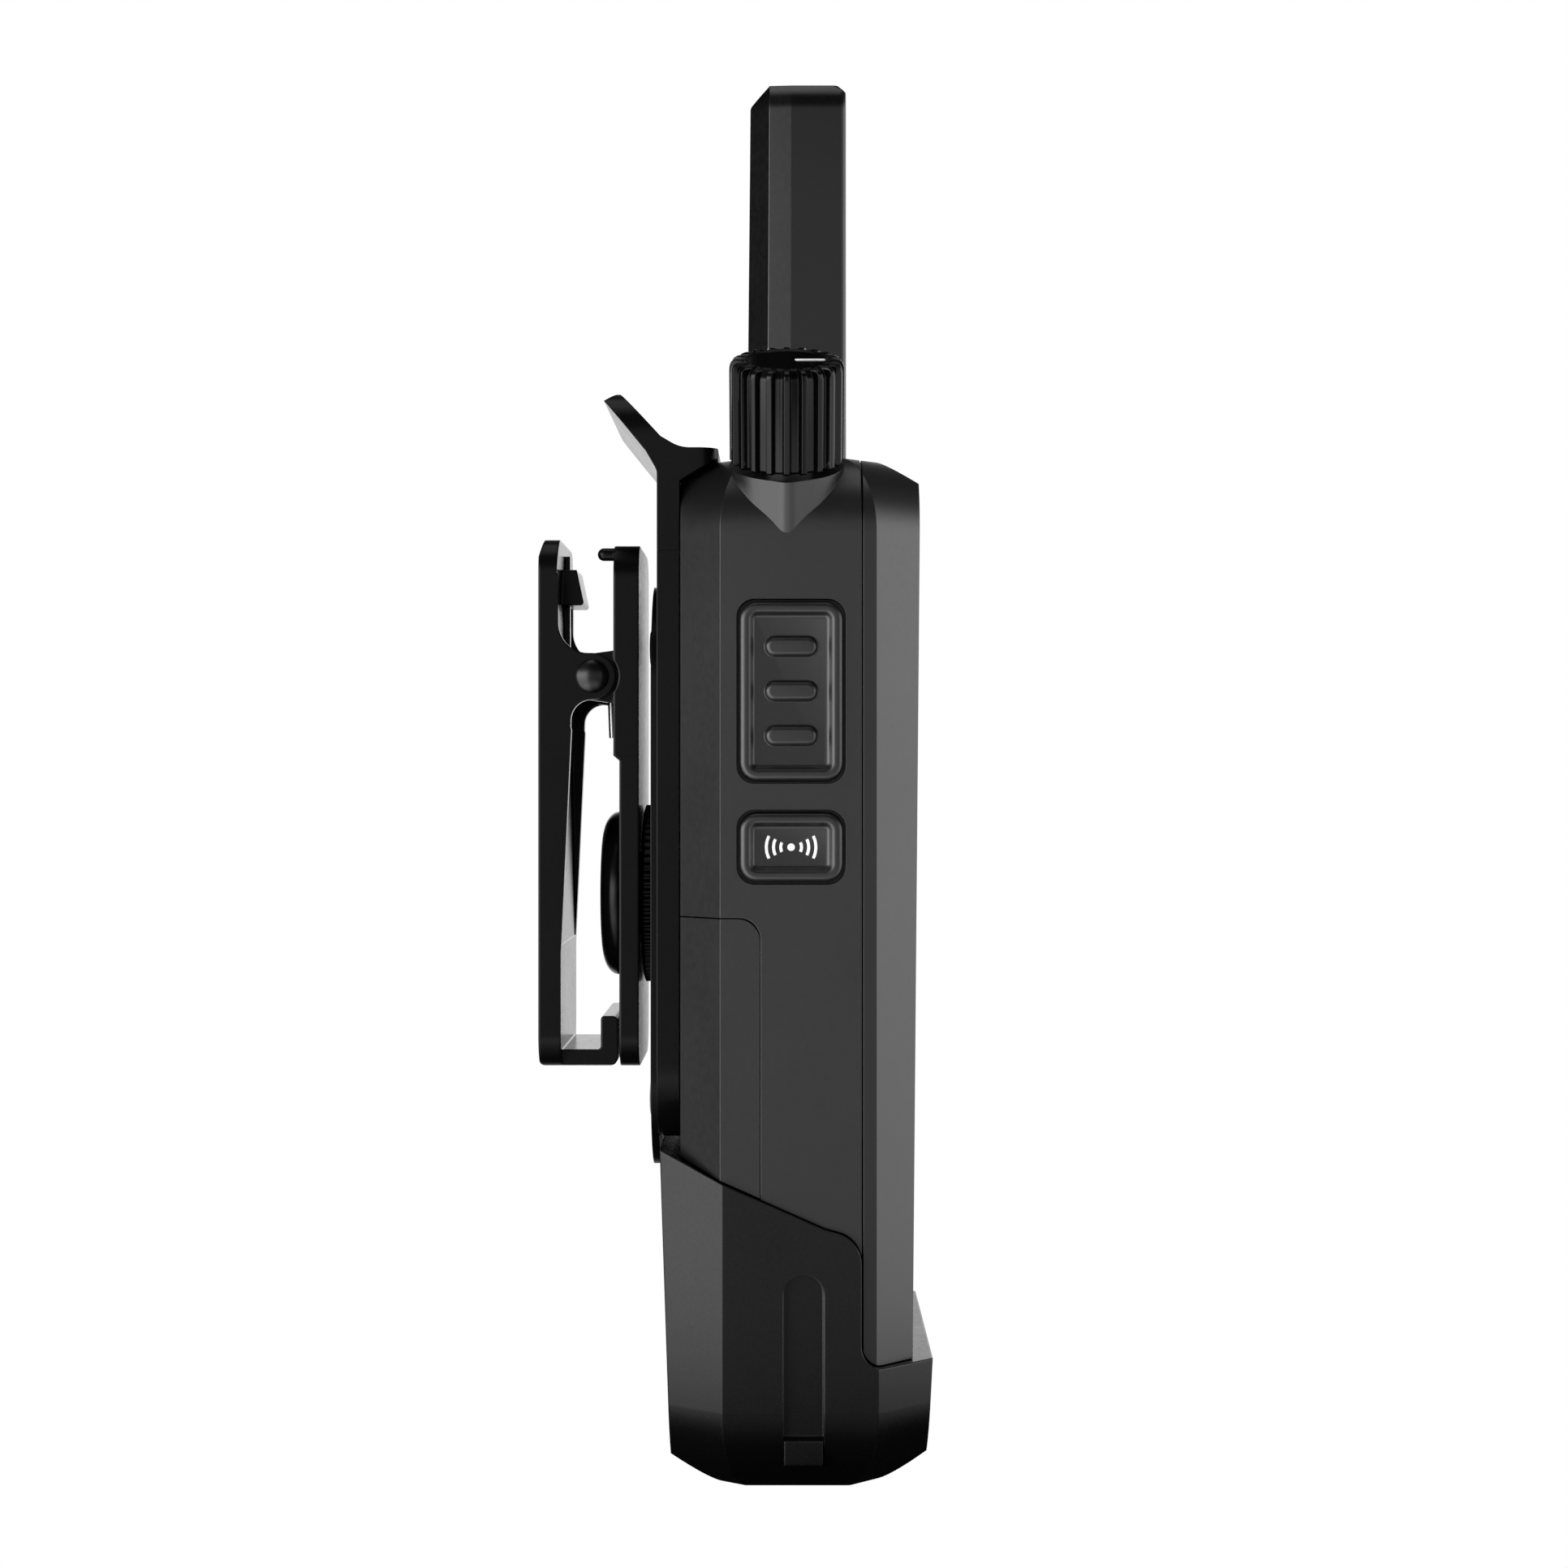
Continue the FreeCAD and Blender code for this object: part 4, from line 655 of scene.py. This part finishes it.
def call_mark():
    """A plain sign for calling, in place of lettering: a dot with waves on both sides."""
    low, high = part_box("call_button")
    foot = 0.01 * MM  # how far the marks reach into the floor
    centre = Vector((low.x + PAD_FLOOR * MM + foot, (low.y + high.y) / 2,
                     (low.z + high.z) / 2))
    place = Matrix.Translation(centre) @ Matrix(
        ((0, 0, -1, 0), (1, 0, 0, 0), (0, 1, 0, 0), (0, 0, 0, 1)))
    dot_radius, stroke, thick = 0.42 * MM, 0.34 * MM, 0.07 * MM
    spread = math.radians(27)
    outlines = [[(p.x, p.y) for p in circle(dot_radius, 0.0, 24)]]
    for radius in (1.15, 1.95, 2.75):
        for middle in (0.0, math.pi):
            outlines.append(arc_band(radius * MM, stroke, middle - spread, middle + spread))
    points, faces = merge([flat_shape(outline[::-1], place, thick) for outline in outlines])
    piece("call_sign", points, faces, "call", "mark")


def front_place(x, y, z):
    """Drawing on the front: right is +X, up is +Z, out is -Y."""
    return Matrix.Translation((x, y, z)) @ Matrix(
        ((1, 0, 0, 0), (0, 0, -1, 0), (0, 1, 0, 0), (0, 0, 0, 1)))


def rectangle(x, y, half_x, half_y):
    """Four corners round a middle, anticlockwise."""
    return [(x - half_x, y - half_y), (x + half_x, y - half_y), (x + half_x, y + half_y),
            (x - half_x, y + half_y)]


def rectangles(rows):
    """Outlines from rows of middle and half size, all in mm."""
    return [rectangle(*(value * MM for value in row)) for row in rows]


def key_marks():
    """Signs on the three front keys: list, up and down."""
    half, low_side, point = 1.4 * MM, 0.9 * MM, 1.2 * MM
    sunk, thick = 0.03 * MM, 0.08 * MM
    signs = {
        "menu": rectangles([(0, k * 0.9, 1.4, 0.2) for k in (-1, 0, 1)]),
        "up": [[(-half, -low_side), (half, -low_side), (0, point)]],
        "down": [[(-half, low_side), (0, -point), (half, low_side)]],
    }
    for body, outlines in signs.items():
        low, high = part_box(body + "_key")
        place = front_place((low.x + high.x) / 2, low.y + sunk, (low.z + high.z) / 2)
        points, faces = merge([flat_shape(outline, place, thick) for outline in outlines])
        piece(body + "_sign", points, faces, body, "mark")


# Each segment's place across and up, as shares of a digit's size, and whether it lies level.
SEGMENTS = {"a": (0, 1, 1), "b": (0.5, 0.5, 0), "c": (0.5, -0.5, 0), "d": (0, -1, 1),
            "e": (-0.5, -0.5, 0), "g": (0, 0, 1)}
DIGITS = {"1": "bc", "2": "abged"}


def display_marks():
    """Channel digits, signal bars and a battery level on the panel."""
    low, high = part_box("display_module")
    sunk, thick = 0.02 * MM, 0.06 * MM
    place = front_place(0, low.y + sunk, (low.z + high.z) / 2)
    digit_wide, digit_tall, digit_drop = 4.6, 4.3, 1
    rows = []
    for digit, x in (("1", -2.5), ("2", 4.0)):
        for name in DIGITS[digit]:
            across, up, level = SEGMENTS[name]
            wide, tall = (1.9, 0.35) if level else (0.35, 1.9)
            rows.append((x + across * digit_wide, up * digit_tall - digit_drop, wide, tall))
    rows += [(-11 + k * 1.3, 5.0 + k * 0.3, 0.4, 0.5 + k * 0.3) for k in range(4)]
    battery = [(9.6, 6.5, 2.0, 0.12), (9.6, 4.5, 2.0, 0.12), (7.7, 5.5, 0.12, 1.1),
               (11.5, 5.5, 0.12, 1.1), (11.9, 5.5, 0.2, 0.4)]
    rows += battery + [(8.5 + k * 1.1, 5.5, 0.4, 0.65) for k in range(3)]
    points, faces = merge([flat_shape(outline, place, thick) for outline in rectangles(rows)])
    piece("display_signs", points, faces, BODY, "boot")


# ---------------------------------------------------------------- studio

# Level direction, full inside and gone outside these angles in degrees, strength: in front,
# behind on the talk side, the talk side itself, and the far side.
WALLS = (((-0.05, -1.0), 24, 56, 3.1), ((-0.60, 0.80), 22, 42, 6.6),
         ((-1.0, 0.0), 30, 75, 0.72), ((1.0, 0.0), 14, 45, 1.4))


def world_light():
    """White all round to the eye. What lights the radio is a band of bright walls, a faint light
    from straight above, and one thrown up from below the talk side."""
    world = bpy.data.worlds.new("studio")
    world.use_nodes = True
    bpy.context.scene.world = world
    nodes = Nodes(world.node_tree)
    way = nodes.add("ShaderNodeTexCoord").outputs["Generated"]
    level = nodes.add("ShaderNodeVectorMath", {0: way, 1: (1, 1, 0)}, operation="MULTIPLY")
    flat = nodes.add("ShaderNodeVectorMath", {0: level.outputs[0]}, operation="NORMALIZE")

    def near(direction, aim):
        """The cosine of the angle between them."""
        return nodes.add("ShaderNodeVectorMath", {0: direction, 1: aim},
                         operation="DOT_PRODUCT").outputs["Value"]

    light = 0.0
    for towards, full, gone, strength in WALLS:
        share = near(flat.outputs[0], Vector((*towards, 0)).normalized())
        wall = nodes.remap(share, math.cos(math.radians(gone)), math.cos(math.radians(full)),
                           0.0, strength, "SMOOTHSTEP")
        light = nodes.math("ADD", light, wall)
    height = nodes.add("ShaderNodeSeparateXYZ", {0: way}).outputs["Z"]
    band = nodes.remap(height, 0.14, 0.50, 1.0, 0.04, "SMOOTHSTEP")
    light = nodes.math("MULTIPLY", light, band)
    lower = nodes.remap(height, -0.30, 0.10, 0.55, 1.0)
    light = nodes.math("MULTIPLY", light, lower)
    above = nodes.remap(height, 0.86, 0.99, 0.02, 1.2, "SMOOTHSTEP")
    light = nodes.math("ADD", light, above)
    bounce = nodes.remap(near(way, (-0.72, 0.0, -0.69)), 0.82, 0.98, 0.0, 1.5, "SMOOTHSTEP")
    light = nodes.math("ADD", light, bounce)
    shown = nodes.add("ShaderNodeLightPath").outputs["Is Camera Ray"]
    strength = nodes.add("ShaderNodeMix", {0: shown, 2: light, 3: 1.0}, data_type="FLOAT")
    back = nodes.add("ShaderNodeBackground", {
        "Color": grey(1.0), "Strength": strength.outputs[0]})
    out = nodes.add("ShaderNodeOutputWorld")
    nodes.tree.links.new(back.outputs[0], out.inputs["Surface"])


def floor():
    """A plain white floor to the eye; to the radio it shows a painted shadow, dark round its foot
    and clear further out, so what it throws back is kept low.
    """
    reach, dark_until, clear_from = 6.0, 0.035, 0.12
    mesh = bpy.data.meshes.new("floor")
    mesh.from_pydata([(x, y, 0) for x, y in rectangle(0, 0, reach, reach)], [], [(0, 1, 2, 3)])
    thing = bpy.data.objects.new("floor", mesh)
    bpy.context.scene.collection.objects.link(thing)
    material, nodes = new_material("floor_paper")
    shown = nodes.add("ShaderNodeLightPath").outputs["Is Camera Ray"]
    seen = nodes.add("ShaderNodeEmission", {"Color": grey(1.0), "Strength": 1.0}).outputs[0]
    place = nodes.add("ShaderNodeTexCoord").outputs["Object"]
    away = nodes.add("ShaderNodeVectorMath", {0: place}, operation="LENGTH").outputs["Value"]
    # Painted shadow: to all but the camera the floor is dark round the radio's foot, clearing to
    # nothing further out.
    clear = nodes.remap(away, dark_until, clear_from, 0.0, 1.0)
    painted_shadow = nodes.add("ShaderNodeBsdfDiffuse", {"Color": grey(0.03)}).outputs[0]
    through = nodes.add("ShaderNodeBsdfTransparent").outputs[0]
    thrown = nodes.add("ShaderNodeMixShader", {0: clear, 1: painted_shadow, 2: through}).outputs[0]
    mixed = nodes.add("ShaderNodeMixShader", {0: shown, 1: thrown, 2: seen})
    close_material(nodes, mixed)
    mesh.materials.append(material)


def camera():
    """Level with the middle of the radio, square on to its talk side."""
    away, across, height = 0.330, 0.0017, 0.0797
    near_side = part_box("front_cover")[0].x
    data = bpy.data.cameras.new("camera")
    data.sensor_width = 36.0
    data.lens = 68.3
    data.clip_start = 0.01
    data.clip_end = 50.0
    thing = bpy.data.objects.new("camera", data)
    thing.location = (near_side - away, across, height)
    thing.rotation_euler = Vector((1, 0, 0)).to_track_quat("-Z", "Y").to_euler()
    bpy.context.scene.collection.objects.link(thing)
    bpy.context.scene.camera = thing


dress_cad()
knob()
antenna()
hinge_pin()
swivel_hub()
swivel_head()
screws()
clip_spring()
TALK_RIDGE_GAP = 4.95 * MM
pressed_pad("talk_pad", "ptt_button", "ptt", [k * TALK_RIDGE_GAP for k in (-1, 0, 1)])
pressed_pad("call_pad", "call_button", "call")
call_mark()
key_marks()
display_marks()
camera()
world_light()
floor()
bpy.context.scene.view_settings.view_transform = "Standard"
